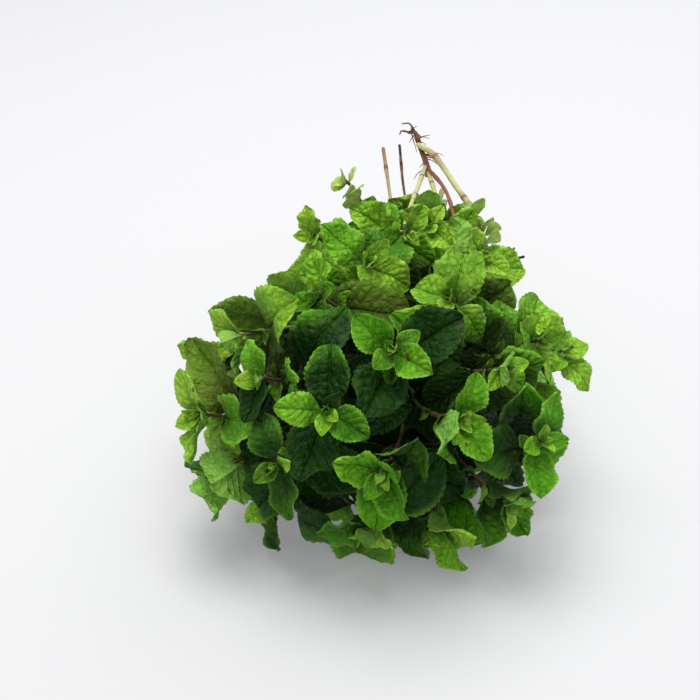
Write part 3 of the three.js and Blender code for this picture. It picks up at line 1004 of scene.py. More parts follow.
@dataclass(frozen=True)
class LeafRelief:
    """The fine form of a leaf: veins, puckers, teeth, waves and the thickness of blade and stalk.

    Heights are in millimetres for a leaf of the grown length, and smaller on a smaller leaf. A number named
    at_edge is a power: the higher it is, the nearer the teeth, waves or curl stay to the edge.
    """

    vein_pairs: float = 6.0
    vein_slant: float = 0.36
    vein_bow: float = 0.25
    pucker: float = 1.5
    pucker_round: float = 0.7
    pucker_ends: float = 0.4
    cells: float = 2.4
    cell_depth: float = 0.35
    cell_round: float = 0.8
    rib: float = 0.6
    rib_room: float = 0.16
    edge_room: float = 0.82
    teeth: float = 12.0
    tooth: float = 0.07
    tooth_peak: float = 0.66
    tooth_at_edge: float = 5.0
    teeth_begin: Range = (0.02, 0.16)
    teeth_end: Range = (0.9, 1.0)
    wave: float = 2.1
    curl: float = 4.6
    level_curl: float = 1.15
    curl_at_edge: float = 2.5
    wave_at_edge: float = 2.6
    sides_apart: float = 0.37
    sway: float = 1.9
    sway_turns: float = 1.1
    stray_pucker: Range = (0.6, 1.5)
    wave_counts: Range = (1.4, 3.0)
    stray_wave: Range = (0.3, 1.3)
    grown_length: float = 41.0
    blade_half: float = 0.16
    least_thickness: float = 0.35
    keel: float = 0.45
    keel_width: float = 0.8
    stalk_half: float = 0.62
    stalk_round: float = 0.85
    stalk_end: float = 0.16
    stalk_root: float = 0.5
    stalk_width: float = 0.75
    stalk_narrows: Range = (0.1, 0.5)
    least_stalk: float = 0.3
    full_stalk_length: float = 30.0
    tip_width: float = 0.2
    least_press: float = 1e-6

    def points(self, leaf: Leaf, mould: LeafMould, slack: float = 1.0) -> np.ndarray:
        """Where the mould's corners go for a leaf.

        Args:
            leaf: the leaf's place, sizes and bends.
            mould: the mould that is bent.
            slack: how strongly the leaf's edge waves and curls.

        Returns:
            One row for each corner, in the frame that the bunch is laid out in.
        """
        along, side = mould.along, -mould.across
        on_blade = np.clip(FORM.on_blade(along), 0, 1)
        out = np.abs(side)
        middle, facing, aside = leaf.frames(along)
        wide = self.width(leaf, along, on_blade, out) * side
        scale = leaf.length / self.grown_length
        lift = (np.sqrt(wide**2 + 1.0) - 1.0) * math.sin(leaf.fold)
        lift = lift + self.relief(leaf, on_blade, side) * scale + self.sag(leaf, on_blade, side) * scale * slack
        at = middle + aside * (wide * math.cos(leaf.fold))[:, None] + facing * lift[:, None]
        facing = self.rest_on_ground(at, facing)
        stalk = 1 - smooth(0.0, self.stalk_end, on_blade)
        half = between(self.blade_half, self.stalk_half, stalk) * min(1.0, self.least_thickness + scale)
        half = half * np.sqrt(1 - self.stalk_round * out**2 * stalk)
        keel = np.exp(-((wide / self.keel_width) ** 2)) * self.keel * (1 - on_blade) * min(1.0, scale)
        half = np.where(mould.layer < 0, half + keel * (1 - stalk), half)
        return at + facing * (half * mould.layer)[:, None]

    def width(self, leaf: Leaf, along: np.ndarray, on_blade: np.ndarray, out: np.ndarray) -> np.ndarray:
        """The leaf's half width in millimetres, with its teeth.

        Args:
            leaf: the leaf.
            along: shares along the leaf.
            on_blade: shares along the blade, 0 up to its base.
            out: shares of the half width.

        Returns:
            One half width for each corner.
        """
        phase = on_blade * self.teeth % 1.0
        peak = self.tooth_peak
        saw = np.where(phase < peak, phase / peak, (1 - phase) / (1 - peak)) - 0.5
        ends = smooth(*self.teeth_begin, on_blade) * (1 - smooth(*self.teeth_end, on_blade))
        reach = 1 + self.tooth * saw * ends * out**self.tooth_at_edge
        stalk = between(self.stalk_root, self.stalk_width, np.minimum(1, along / FORM.petiole_share))
        stalk = between(stalk, self.tip_width, smooth(*self.stalk_narrows, on_blade))
        stalk = stalk * min(1.0, self.least_stalk + leaf.length / self.full_stalk_length)
        return np.maximum(stalk, leaf.half_width * reach * FORM.width_at(on_blade))

    def relief(self, leaf: Leaf, on_blade: np.ndarray, side: np.ndarray) -> np.ndarray:
        """Sunken veins with the blade puckered up between them, for a grown leaf, in millimetres.

        Args:
            leaf: the leaf.
            on_blade: shares along the blade, 0 up to its base.
            side: shares of the half width, below 0 on one side.

        Returns:
            One height for each corner.
        """
        out = np.abs(side)
        slant = self.vein_slant * out * (1 - self.vein_bow + self.vein_bow * out)
        vein = self.vein_pairs * (on_blade - slant) + 0.5 * (side > 0)
        ridge = np.abs(np.sin(np.pi * vein)) ** self.pucker_round
        inside = smooth(0.0, self.rib_room, out) * (1 - smooth(self.edge_room, 1.0, out))
        inside = inside * np.sin(np.pi * np.clip(on_blade, 0, 1)).clip(0) ** self.pucker_ends
        cells = np.abs(np.sin(np.pi * (out * self.cells + 0.5 * np.floor(vein)))) ** self.cell_round
        pucker = between(*self.stray_pucker, draw(leaf.stem, leaf.key, Use.PUCKER))
        puffed = self.pucker * pucker * ridge * (1 - self.cell_depth + self.cell_depth * cells) * inside
        return puffed - self.rib * np.exp(-((out * leaf.half_width) ** 2)) * (on_blade > 0)

    def sag(self, leaf: Leaf, on_blade: np.ndarray, side: np.ndarray) -> np.ndarray:
        """The leaf's waved edge, its curled sides and its slow sway, for a grown leaf, in millimetres.

        Args:
            leaf: the leaf.
            on_blade: shares along the blade, 0 up to its base.
            side: shares of the half width, below 0 on one side.

        Returns:
            One height for each corner.
        """
        out = np.abs(side)
        uses = (Use.WAVE_COUNT, Use.WAVE_START, Use.WAVE_HEIGHT, Use.CURL, Use.SWAY)
        turns, start, other, roll, level = (draw(leaf.stem, leaf.key, use) for use in uses)
        middle = np.sin(np.pi * on_blade).clip(0)
        waves = between(*self.wave_counts, turns) * on_blade + start
        cycle = 2 * np.pi * (waves + self.sides_apart * (side > 0))
        wave = self.wave * between(*self.stray_wave, other) * np.sin(cycle) * out**self.wave_at_edge
        curl = self.curl * (2 * roll - self.level_curl) * out**self.curl_at_edge * np.sqrt(middle)
        sway = self.sway * np.sin(2 * np.pi * (on_blade * self.sway_turns + level)) * middle
        return wave - curl + sway

    def rest_on_ground(self, at: np.ndarray, facing: np.ndarray) -> np.ndarray:
        """Presses what lies near the ground onto it, in place, and gives the faces turned to match.

        Args:
            at: the corners' places, which are changed.
            facing: the way each one faces.

        Returns:
            The way each one faces afterwards.
        """
        height = at[:, 2] - FORM.fine_lowest
        press = FORM.press * np.abs(facing[:, 2])
        free = FORM.ease * press
        flat = np.clip((free - height) / np.maximum(free - press, self.least_press), 0, 1)
        eased = np.where(height < press, 0.0, FORM.climb * (height - press))
        at[:, 2] = np.where(height < free, FORM.fine_lowest + eased, at[:, 2])
        at[:, 2] = np.maximum(at[:, 2], FORM.fine_lowest)
        level = UP * np.where(facing[:, 2:] < 0, -1.0, 1.0)
        return unit(facing * (1 - flat)[:, None] + level * flat[:, None])


RELIEF = LeafRelief()


# ---------------------------------------------------------------- finishes


@dataclass(frozen=True)
class Step:
    """A smooth step from start, where a value is low, to stop, where it is high."""

    low: float
    high: float
    start: float = 0.0
    stop: float = 1.0


MIX_SOCKETS = (6, 7)  # a mix node's two inputs for colours
MIX_RESULT = 2  # its output for a colour


class Pattern:
    """A material's nodes, put together by what they do."""

    def __init__(self, name: str) -> None:
        """Starts a material with a plain shader.

        Args:
            name: the material's name.
        """
        self.material = bpy.data.materials.new(name)
        self.material.use_nodes = True
        self.nodes = self.material.node_tree.nodes
        self.links = self.material.node_tree.links
        self.shader = self.nodes["Principled BSDF"]
        self.place = self.nodes.new("ShaderNodeTexCoord").outputs["Object"]

    def give(self, socket: Socket, value: object) -> None:
        """Links a socket to another, or sets its value.

        Args:
            socket: the input.
            value: an output to link, a number or a colour.
        """
        if isinstance(value, Socket):
            self.links.new(value, socket)
        elif isinstance(value, tuple) and len(value) == 3 and len(socket.default_value) == 4:
            socket.default_value = (*value, 1.0)
        else:
            socket.default_value = value

    def attribute(self, name: str) -> Socket:
        """A number kept on the piece.

        Args:
            name: the attribute's name.

        Returns:
            The number.
        """
        node = self.nodes.new("ShaderNodeAttribute")
        node.attribute_name = name
        return node.outputs["Fac"]

    def pattern_place(self) -> tuple[Socket, Socket]:
        """How far along the leaf a point lies, and how far across it from 0 to 1.

        Returns:
            The two numbers.
        """
        uv = self.nodes.new("ShaderNodeUVMap")
        uv.uv_map = "UVMap"
        parts = self.nodes.new("ShaderNodeSeparateXYZ")
        self.links.new(uv.outputs["UV"], parts.inputs[0])
        return parts.outputs["X"], parts.outputs["Y"]

    def sum(self, operation: str, *values: object) -> Socket:
        """One sum of up to three numbers.

        Args:
            operation: what is done with them.
            values: numbers or outputs.

        Returns:
            The result.
        """
        node = self.nodes.new("ShaderNodeMath")
        node.operation = operation
        for socket, value in zip(node.inputs, values):
            self.give(socket, value)
        return node.outputs[0]

    def step(self, value: Socket, step: Step) -> Socket:
        """A smooth step.

        Args:
            value: the number that is stepped.
            step: where the step lies, and its results below and above.

        Returns:
            The result.
        """
        node = self.nodes.new("ShaderNodeMapRange")
        node.interpolation_type = "SMOOTHSTEP"
        names = ("Value", "From Min", "From Max", "To Min", "To Max")
        for name, given in zip(names, (value, step.low, step.high, step.start, step.stop)):
            self.give(node.inputs[name], given)
        return node.outputs["Result"]

    def noise(self, scale: float, detail: float, stretch: Point = (1, 1, 1), rough: float = 0.5) -> Socket:
        """Soft noise over the piece, its grain a number to the metre.

        Args:
            scale: how many grains to the metre.
            detail: how many finer grains lie in each.
            stretch: how much denser the grain is along each axis.
            rough: how strong the finer ones are.

        Returns:
            The noise, from 0 to 1.
        """
        node = self.nodes.new("ShaderNodeTexNoise")
        self.give(node.inputs["Scale"], scale)
        self.give(node.inputs["Detail"], detail)
        self.give(node.inputs["Roughness"], rough)
        mapping = self.nodes.new("ShaderNodeMapping")
        mapping.inputs["Scale"].default_value = stretch
        self.links.new(self.place, mapping.inputs["Vector"])
        self.links.new(mapping.outputs["Vector"], node.inputs["Vector"])
        return node.outputs["Fac"]

    def net(self, scale: float, line: float) -> Socket:
        """A net of fine lines over the piece: 1 on a line and 0 between.

        Args:
            scale: how many meshes to the metre.
            line: how broad a line is, as a share of a mesh.

        Returns:
            The net.
        """
        node = self.nodes.new("ShaderNodeTexVoronoi")
        node.feature = "DISTANCE_TO_EDGE"
        self.give(node.inputs["Scale"], scale)
        self.links.new(self.place, node.inputs["Vector"])
        return self.step(node.outputs["Distance"], Step(0.0, line, 1.0, 0.0))

    def mix(self, share: object, a: object, b: object) -> Socket:
        """A mix of two colours.

        Args:
            share: how much of the second colour.
            a: the first colour.
            b: the second.

        Returns:
            The mix.
        """
        node = self.nodes.new("ShaderNodeMix")
        node.data_type = "RGBA"
        self.give(node.inputs["Factor"], share)
        for socket, colour in zip(MIX_SOCKETS, (a, b)):
            self.give(node.inputs[socket], colour)
        return node.outputs[MIX_RESULT]

    def layered(self, colour: object, *layers: tuple[object, Colour | Socket]) -> Socket:
        """A colour with others laid over it, one after another.

        Args:
            colour: the lowest colour.
            layers: how much of each further colour, and that colour.

        Returns:
            The mix of them all.
        """
        for share, over in layers:
            colour = self.mix(share, colour, over)
        return colour

    def bump(self, height: Socket, depth: float, strength: float = 1.0) -> None:
        """Raises the surface by the height, a depth in metres.

        Args:
            height: the height, about 1 at its strongest.
            depth: the depth of 1, in metres.
            strength: how strongly it shows.
        """
        node = self.nodes.new("ShaderNodeBump")
        self.give(node.inputs["Strength"], strength)
        self.give(node.inputs["Distance"], depth)
        self.links.new(height, node.inputs["Height"])
        self.links.new(node.outputs["Normal"], self.shader.inputs["Normal"])

    def dress(self, colour: object, roughness: object, specular: float) -> bpy.types.Material:
        """Finishes the shader and gives the material.

        Args:
            colour: the surface's colour.
            roughness: how rough it is.
            specular: how glossy it is.

        Returns:
            The material.
        """
        self.give(self.shader.inputs["Base Color"], colour)
        self.give(self.shader.inputs["Roughness"], roughness)
        self.shader.inputs["Specular IOR Level"].default_value = specular
        return self.material


@dataclass(frozen=True)
class LeafFinish:
    """A veined mint leaf: deep to fresh green, yellower where young, paler underneath and along its veins, with
    painted shade at the blade's base, in the grooves between its puckers and on shaded leaves, and a pale rim
    that is partly painted light.

    Scales are grains or meshes to the metre, lines are shares of a mesh, and heights are shares of the relief.
    """

    name: str = "mint_leaf"
    # deep is also the colour of the painted shade at the base, in the grooves and on leaves inside the bunch
    deep: Colour = (0.006, 0.038, 0.002)
    middle: Colour = (0.100, 0.395, 0.005)
    fresh: Colour = (0.310, 0.670, 0.035)
    young: Colour = (0.580, 0.800, 0.090)
    palest: Colour = (0.740, 0.840, 0.300)
    vein: Colour = (0.320, 0.640, 0.060)
    underside: Colour = (0.220, 0.450, 0.090)
    spot: Colour = (0.085, 0.050, 0.012)
    puff_scale: float = 270.0
    fine_scale: float = 820.0
    blotch_scale: float = 85.0
    grain_scale: float = 900.0
    stain_scale: float = 160.0
    wander_scale: float = 140.0
    puff_line: float = 0.42
    net_line: float = 0.10
    fine_line: float = 0.14
    # painted light and shade: how lit a leaf is, read from its tone, which holds painted shade
    lit: Step = Step(-0.15, 0.5, 0.12)
    to_middle: Step = Step(0.0, 0.55)
    to_fresh: Step = Step(0.5, 1.0)
    to_palest: Step = Step(0.9, 1.4)
    light_blotches: Step = Step(0.42, 0.66, 0.0, 0.42)
    dark_blotches: Step = Step(0.3, 0.44, 0.28, 0.0)
    # painted shade: the blade darkened toward its base by the stem
    painted_shade_at_base: Step = Step(0.0, 0.5, 0.5, 0.0)
    # painted shade in the grooves between the puckers
    painted_groove_shade: float = 0.30
    # a pale rim: partly the leaf's own paler edge, partly painted light
    pale_rim_and_painted_light: Step = Step(0.72, 1.0, 0.0, 0.38)
    light_vein: float = 0.22
    light_rib: float = 0.42
    paler_below: float = 0.65
    young_below: float = -0.4
    stained: Step = Step(0.735, 0.76)
    stain: float = 0.8
    roughness: Step = Step(0.3, 0.7, 0.34, 0.46)
    rougher_below: float = 0.2
    vein_edge: Step = Step(0.02, 0.10, 1.0, 0.0)
    vein_start: Step = Step(0.0, 0.06)
    vein_end: Step = Step(0.55, 0.97, 1.0, 0.0)
    vein_wander: float = 0.16
    rib_edge: Step = Step(0.012, 0.06, 1.0, 0.0)
    rib_end: Step = Step(0.5, 1.0, 1.0, 0.3)
    rib_height: float = -1.2
    vein_height: float = -1.0
    puff_height: float = -1.3
    net_height: float = -0.2
    grain_height: float = 0.12
    flatter_below: float = -1.7
    flatter_young: float = -0.55
    relief: float = 0.0005
    gloss: float = 0.13

    def material(self) -> bpy.types.Material:
        """The leaf's material.

        Returns:
            The material, with its nodes.
        """
        p = Pattern(self.name)
        along, across = p.pattern_place()
        tone, youth, under = (p.attribute(name) for name in ("tone", "youth", "under"))
        blade = p.sum("DIVIDE", p.sum("SUBTRACT", along, FORM.petiole_share), 1 - FORM.petiole_share)
        side = p.sum("MULTIPLY_ADD", across, 2.0, -1.0)
        out = p.sum("ABSOLUTE", side)
        vein, rib = self.veins(p, blade, side, out)
        puffs = p.net(self.puff_scale, self.puff_line)
        net = p.net(self.puff_scale, self.net_line)
        fine = p.net(self.fine_scale, self.fine_line)
        blotch = p.noise(self.blotch_scale, 3.0)
        grain = p.noise(self.grain_scale, 2.0)
        # painted light: pale blotches, veins, rim and underside show less on leaves whose tone holds painted
        # shade
        lit = p.step(tone, self.lit)
        green = p.layered(
            self.deep,
            (p.step(tone, self.to_middle), self.middle),
            (p.step(tone, self.to_fresh), self.fresh),
            (youth, self.young),
            (p.step(youth, self.to_palest), self.palest),
        )
        light_blotch = p.sum("MULTIPLY", p.step(blotch, self.light_blotches), lit)
        light_vein = p.sum("MULTIPLY_ADD", vein, self.light_vein, p.sum("MULTIPLY", rib, self.light_rib))
        # the pale rim joins the veins: partly the leaf's own colour, partly painted light
        light_vein = p.sum("MAXIMUM", light_vein, p.step(out, self.pale_rim_and_painted_light))
        below = p.sum("MULTIPLY", under, p.sum("MULTIPLY_ADD", youth, self.young_below, self.paler_below))
        stains = p.step(p.noise(self.stain_scale, 1.0), self.stained)
        colour = p.layered(
            green,
            (light_blotch, p.mix(0.5, self.fresh, green)),
            (p.step(blotch, self.dark_blotches), self.deep),
            # painted shade at the blade's base
            (p.step(blade, self.painted_shade_at_base), self.deep),
            # painted shade in the grooves between the puckers
            (p.sum("MULTIPLY", puffs, self.painted_groove_shade), self.deep),
            (p.sum("MULTIPLY", light_vein, lit), self.vein),
            (p.sum("MULTIPLY", below, lit), self.underside),
            (p.sum("MULTIPLY", stains, self.stain), self.spot),
        )
        height = p.sum("MULTIPLY", rib, self.rib_height)
        raised = (
            (vein, self.vein_height),
            (puffs, self.puff_height),
            (net, self.net_height),
            (fine, self.net_height),
            (grain, self.grain_height),
        )
        for part, share in raised:
            height = p.sum("MULTIPLY_ADD", part, share, height)
        for part, share in ((under, self.flatter_below), (youth, self.flatter_young)):
            height = p.sum("MULTIPLY", height, p.sum("MULTIPLY_ADD", part, share, 1.0))
        p.bump(height, self.relief, 1.0)
        rough = p.sum("ADD", p.step(blotch, self.roughness), p.sum("MULTIPLY", under, self.rougher_below))
        return p.dress(colour, rough, self.gloss)

    def veins(self, p: Pattern, blade: Socket, side: Socket, out: Socket) -> tuple[Socket, Socket]:
        """The side veins and the middle rib, each 1 on the vein and 0 beside it.

        Args:
            p: the material's nodes.
            blade: the share along the blade.
            side: the share of the half width, below 0 on one side.
            out: the same without its sign.

        Returns:
            The two numbers.
        """
        bowed = p.sum("MULTIPLY_ADD", out, RELIEF.vein_bow, 1 - RELIEF.vein_bow)
        slant = p.sum("MULTIPLY", bowed, p.sum("MULTIPLY", out, RELIEF.vein_slant))
        other = p.sum("MULTIPLY", p.sum("GREATER_THAN", 0.0, side), 0.5)
        turn = p.sum("MULTIPLY_ADD", p.sum("SUBTRACT", blade, slant), RELIEF.vein_pairs, other)
        turn = p.sum("SUBTRACT", turn, self.vein_wander / 2)
        turn = p.sum("MULTIPLY_ADD", p.noise(self.wander_scale, 1.0), self.vein_wander, turn)
        near = p.sum("PINGPONG", turn, 0.5)
        vein = p.step(near, self.vein_edge)
        fade = p.sum("MULTIPLY", p.step(out, self.vein_end), p.step(blade, self.vein_start))
        rib = p.sum("MULTIPLY", p.step(out, self.rib_edge), p.step(blade, self.rib_end))
        return p.sum("MULTIPLY", vein, fade), rib


@dataclass(frozen=True)
class StemFinish:
    """A square mint stem: purple brown near its tip, green below, pale at its cut end, finely streaked."""

    name: str = "mint_stem"
    purple: Colour = (0.095, 0.030, 0.030)
    green: Colour = (0.135, 0.230, 0.045)
    pale: Colour = (0.290, 0.360, 0.110)
    streak: Colour = (0.050, 0.085, 0.018)
    patch_scale: float = 60.0
    streak_scale: float = 1500.0
    fleck_scale: float = 700.0
    lengthwise: Point = (1.0, 0.06, 1.0)
    patch_reach: float = 0.9
    purpler: float = -0.7
    to_green: Step = Step(0.25, 1.1)
    to_pale: Step = Step(1.2, 2.2)
    streaked: Step = Step(0.45, 0.75, 0.0, 0.5)
    roughness: Step = Step(0.3, 0.7, 0.38, 0.55)
    relief: float = 0.00018
    relief_shows: float = 0.8
    gloss: float = 0.45

    def material(self) -> bpy.types.Material:
        """The stem's material.

        Returns:
            The material, with its nodes.
        """
        p = Pattern(self.name)
        from_tip = p.attribute("from_tip")
        tone = p.attribute("tone")
        patch = p.noise(self.patch_scale, 3.0)
        streaks = p.noise(self.streak_scale, 2.0, self.lengthwise)
        reach = p.sum("MULTIPLY_ADD", patch, self.patch_reach, from_tip)
        reach = p.sum("MULTIPLY_ADD", tone, self.purpler, reach)
        colour = p.layered(
            self.purple,
            (p.step(reach, self.to_green), self.green),
            (p.step(reach, self.to_pale), self.pale),
            (p.step(streaks, self.streaked), self.streak),
        )
        p.bump(p.sum("ADD", streaks, p.noise(self.fleck_scale, 2.0)), self.relief, self.relief_shows)
        return p.dress(colour, p.step(patch, self.roughness), self.gloss)


@dataclass(frozen=True)
class StalkFinish:
    """A stripped stalk, dry twig or rooted runner: pale green to rusty brown, near black where dried up."""

    name: str = "bare_stalk"
    brown: Colour = (0.210, 0.080, 0.030)
    dark_brown: Colour = (0.060, 0.022, 0.010)
    pale: Colour = (0.520, 0.530, 0.240)
    blush: Colour = (0.300, 0.105, 0.100)
    rust: Colour = (0.260, 0.090, 0.050)
    black: Colour = (0.016, 0.011, 0.009)
    patch_scale: float = 130.0
    fibre_scale: float = 1700.0
    blush_scale: float = 32.0
    lengthwise: Point = (1.0, 0.07, 1.0)
    patch_rough: float = 0.6
    browner: Step = Step(0.35, 0.65)
    rusty_patches: float = 0.3
    to_rust: Step = Step(0.25, 0.5)
    pale_patches: float = 0.35
    to_pale: Step = Step(0.6, 1.0)
    blushing: Step = Step(0.52, 0.7, 0.0, 0.45)
    fibrous: Step = Step(0.5, 0.8, 0.0, 0.3)
    drying: Step = Step(0.15, 0.5, 0.0, 0.75)
    black_patches: float = 0.5
    to_black: Step = Step(0.8, 1.1)
    roughness: Step = Step(0.3, 0.7, 0.55, 0.8)
    patch_height: float = 1.5
    relief: float = 0.0003
    relief_shows: float = 0.9
    gloss: float = 0.3

    def material(self) -> bpy.types.Material:
        """The stalk's material.

        Returns:
            The material, with its nodes.
        """
        p = Pattern(self.name)
        green = p.attribute("tone")
        dried = p.attribute("dried")
        patch = p.noise(self.patch_scale, 4.0, rough=self.patch_rough)
        fibres = p.noise(self.fibre_scale, 3.0, self.lengthwise)
        colour = p.layered(
            self.brown,
            (p.step(patch, self.browner), self.dark_brown),
            (self.patchy(p, patch, self.rusty_patches, green, self.to_rust), self.rust),
            (self.patchy(p, patch, self.pale_patches, green, self.to_pale), self.pale),
            (p.step(p.noise(self.blush_scale, 2.0), self.blushing), self.blush),
            (p.step(fibres, self.fibrous), self.dark_brown),
            (p.step(dried, self.drying), self.brown),
            (self.patchy(p, patch, self.black_patches, dried, self.to_black), self.black),
        )
        height = p.sum("ADD", fibres, p.sum("MULTIPLY", patch, self.patch_height))
        p.bump(height, self.relief, self.relief_shows)
        return p.dress(colour, p.step(patch, self.roughness), self.gloss)

    def patchy(self, p: Pattern, patch: Socket, uneven: float, value: Socket, step: Step) -> Socket:
        """A step with a patchy edge.

        Args:
            p: the material's nodes.
            patch: the patches.
            uneven: how far they move the edge.
            value: the number that is stepped.
            step: where the step lies, and its results below and above.

        Returns:
            The result.
        """
        return p.step(p.sum("MULTIPLY_ADD", patch, uneven, value), step)


@dataclass(frozen=True)
class FloorFinish:
    """A plain pale surface, with painted light: a faint glow that lightens the shadow cast on it."""

    name: str = "pale_surface"
    pale: Colour = (0.545, 0.545, 0.558)
    shade: Colour = (0.533, 0.533, 0.546)
    painted_light_glow: Colour = (0.165, 0.165, 0.168)
    cloud_scale: float = 2.0
    grain_scale: float = 300.0
    relief: float = 0.0002
    relief_shows: float = 0.1
    roughness: float = 0.6
    gloss: float = 0.3

    def material(self) -> bpy.types.Material:
        """The floor's material.

        Returns:
            The material, with its nodes.
        """
        p = Pattern(self.name)
        cloudy = p.noise(self.cloud_scale, 2.0)
        p.bump(p.noise(self.grain_scale, 2.0), self.relief, self.relief_shows)
        # painted light: the floor glows to lighten the shadow on it
        p.give(p.shader.inputs["Emission Color"], self.painted_light_glow)
        p.give(p.shader.inputs["Emission Strength"], 1.0)
        return p.dress(p.mix(cloudy, self.pale, self.shade), self.roughness, self.gloss)


# ---------------------------------------------------------------- stems and stalks


@dataclass
class TubeMould(Mould):
    """A straight round tube.

    Its axis runs from z 0 at the cut end to z 1 at the tip, and its radius is 1.
    """

    sides: int
    rings: int
    corners: np.ndarray = field(init=False)

    def build(self, material: bpy.types.Material) -> None:
        """Makes the mould from a cylinder whose long edges are cut into rings.

        Args:
            material: what every copy is made of.
        """
        deselect()
        bpy.ops.mesh.primitive_cylinder_add(
            vertices=self.sides, radius=1, depth=1, end_fill_type="TRIFAN", location=(0, 0, 0.5)
        )
        self.piece = bpy.context.object
        bpy.ops.object.transform_apply(location=True, rotation=False, scale=False)
        bpy.ops.object.mode_set(mode="EDIT")
        bpy.ops.mesh.select_mode(type="EDGE")
        bpy.ops.mesh.select_all(action="DESELECT")
        mesh = bmesh.from_edit_mesh(self.piece.data)
        for edge in mesh.edges:
            low, high = (corner.co.z for corner in edge.verts)
            edge.select_set(abs(high - low) > 0.5)
        bmesh.update_edit_mesh(self.piece.data)
        bpy.ops.mesh.subdivide(number_cuts=self.rings)
        bpy.ops.object.mode_set(mode="OBJECT")
        self.corners = self.finish(material, ("tone", "from_tip", "dried"))

    def copy_along(self, line: Line, radius: np.ndarray, **values: np.ndarray | float) -> bpy.types.Object:
        """A copy bent along a line.

        Args:
            line: the line, in the frame that the bunch is laid out in.
            radius: each corner's distance from the line, in millimetres.
            values: each named attribute's value, one number or one for each corner.

        Returns:
            The copy, with a mesh of its own.
        """
        at, along, across = line.spread(self.corners[:, 2])
        aside = np.cross(along, across)
        reach = radius[:, None]
        points = at + across * self.corners[:, :1] * reach + aside * self.corners[:, 1:2] * reach
        return self.copy_at(points, **values)

    def squareness(self, amount: float) -> np.ndarray:
        """Each corner's distance from the axis for a tube with four blunt corners."""
        angle = np.arctan2(self.corners[:, 1], self.corners[:, 0])
        return 1 - amount * (0.5 + 0.5 * np.cos(4 * angle))


SMOOTH_BELOW = 62.0  # degrees between two faces, above which an edge stays sharp


def join(name: str, parts: list[bpy.types.Object]) -> bpy.types.Object:
    """Joins parts into one smooth piece.

    Args:
        name: the piece's name.
        parts: what it is joined from.

    Returns:
        The piece.
    """
    make_active(parts[0])
    for part in parts:
        part.select_set(True)
    bpy.ops.object.join()
    piece = bpy.context.object
    piece.name = name
    piece.data.name = name
    bpy.ops.object.shade_smooth_by_angle(angle=math.radians(SMOOTH_BELOW))
    return piece


@dataclass
class Moulds:
    """The moulds that all leaves, stems and stalks are copied from."""

    fine: LeafMould = field(default_factory=lambda: LeafMould(39, 18))
    inner: LeafMould = field(default_factory=lambda: LeafMould(27, 12))
    small: LeafMould = field(default_factory=lambda: LeafMould(15, 6, 2))
    stem: TubeMould = field(default_factory=lambda: TubeMould(12, 70))
    stalk: TubeMould = field(default_factory=lambda: TubeMould(10, 90))
    root: TubeMould = field(default_factory=lambda: TubeMould(5, 12))

    def build(self) -> None:
        """Makes every mould."""
        leaf = LeafFinish().material()
        stem = StemFinish().material()
        stalk = StalkFinish().material()
        for mould in (self.fine, self.inner, self.small):
            mould.build(leaf)
        self.stem.build(stem)
        self.stalk.build(stalk)
        self.root.build(stalk)

    def remove(self) -> None:
        """Takes every mould out of the scene."""
        for mould in (self.fine, self.inner, self.small, self.stem, self.stalk, self.root):
            mould.remove()


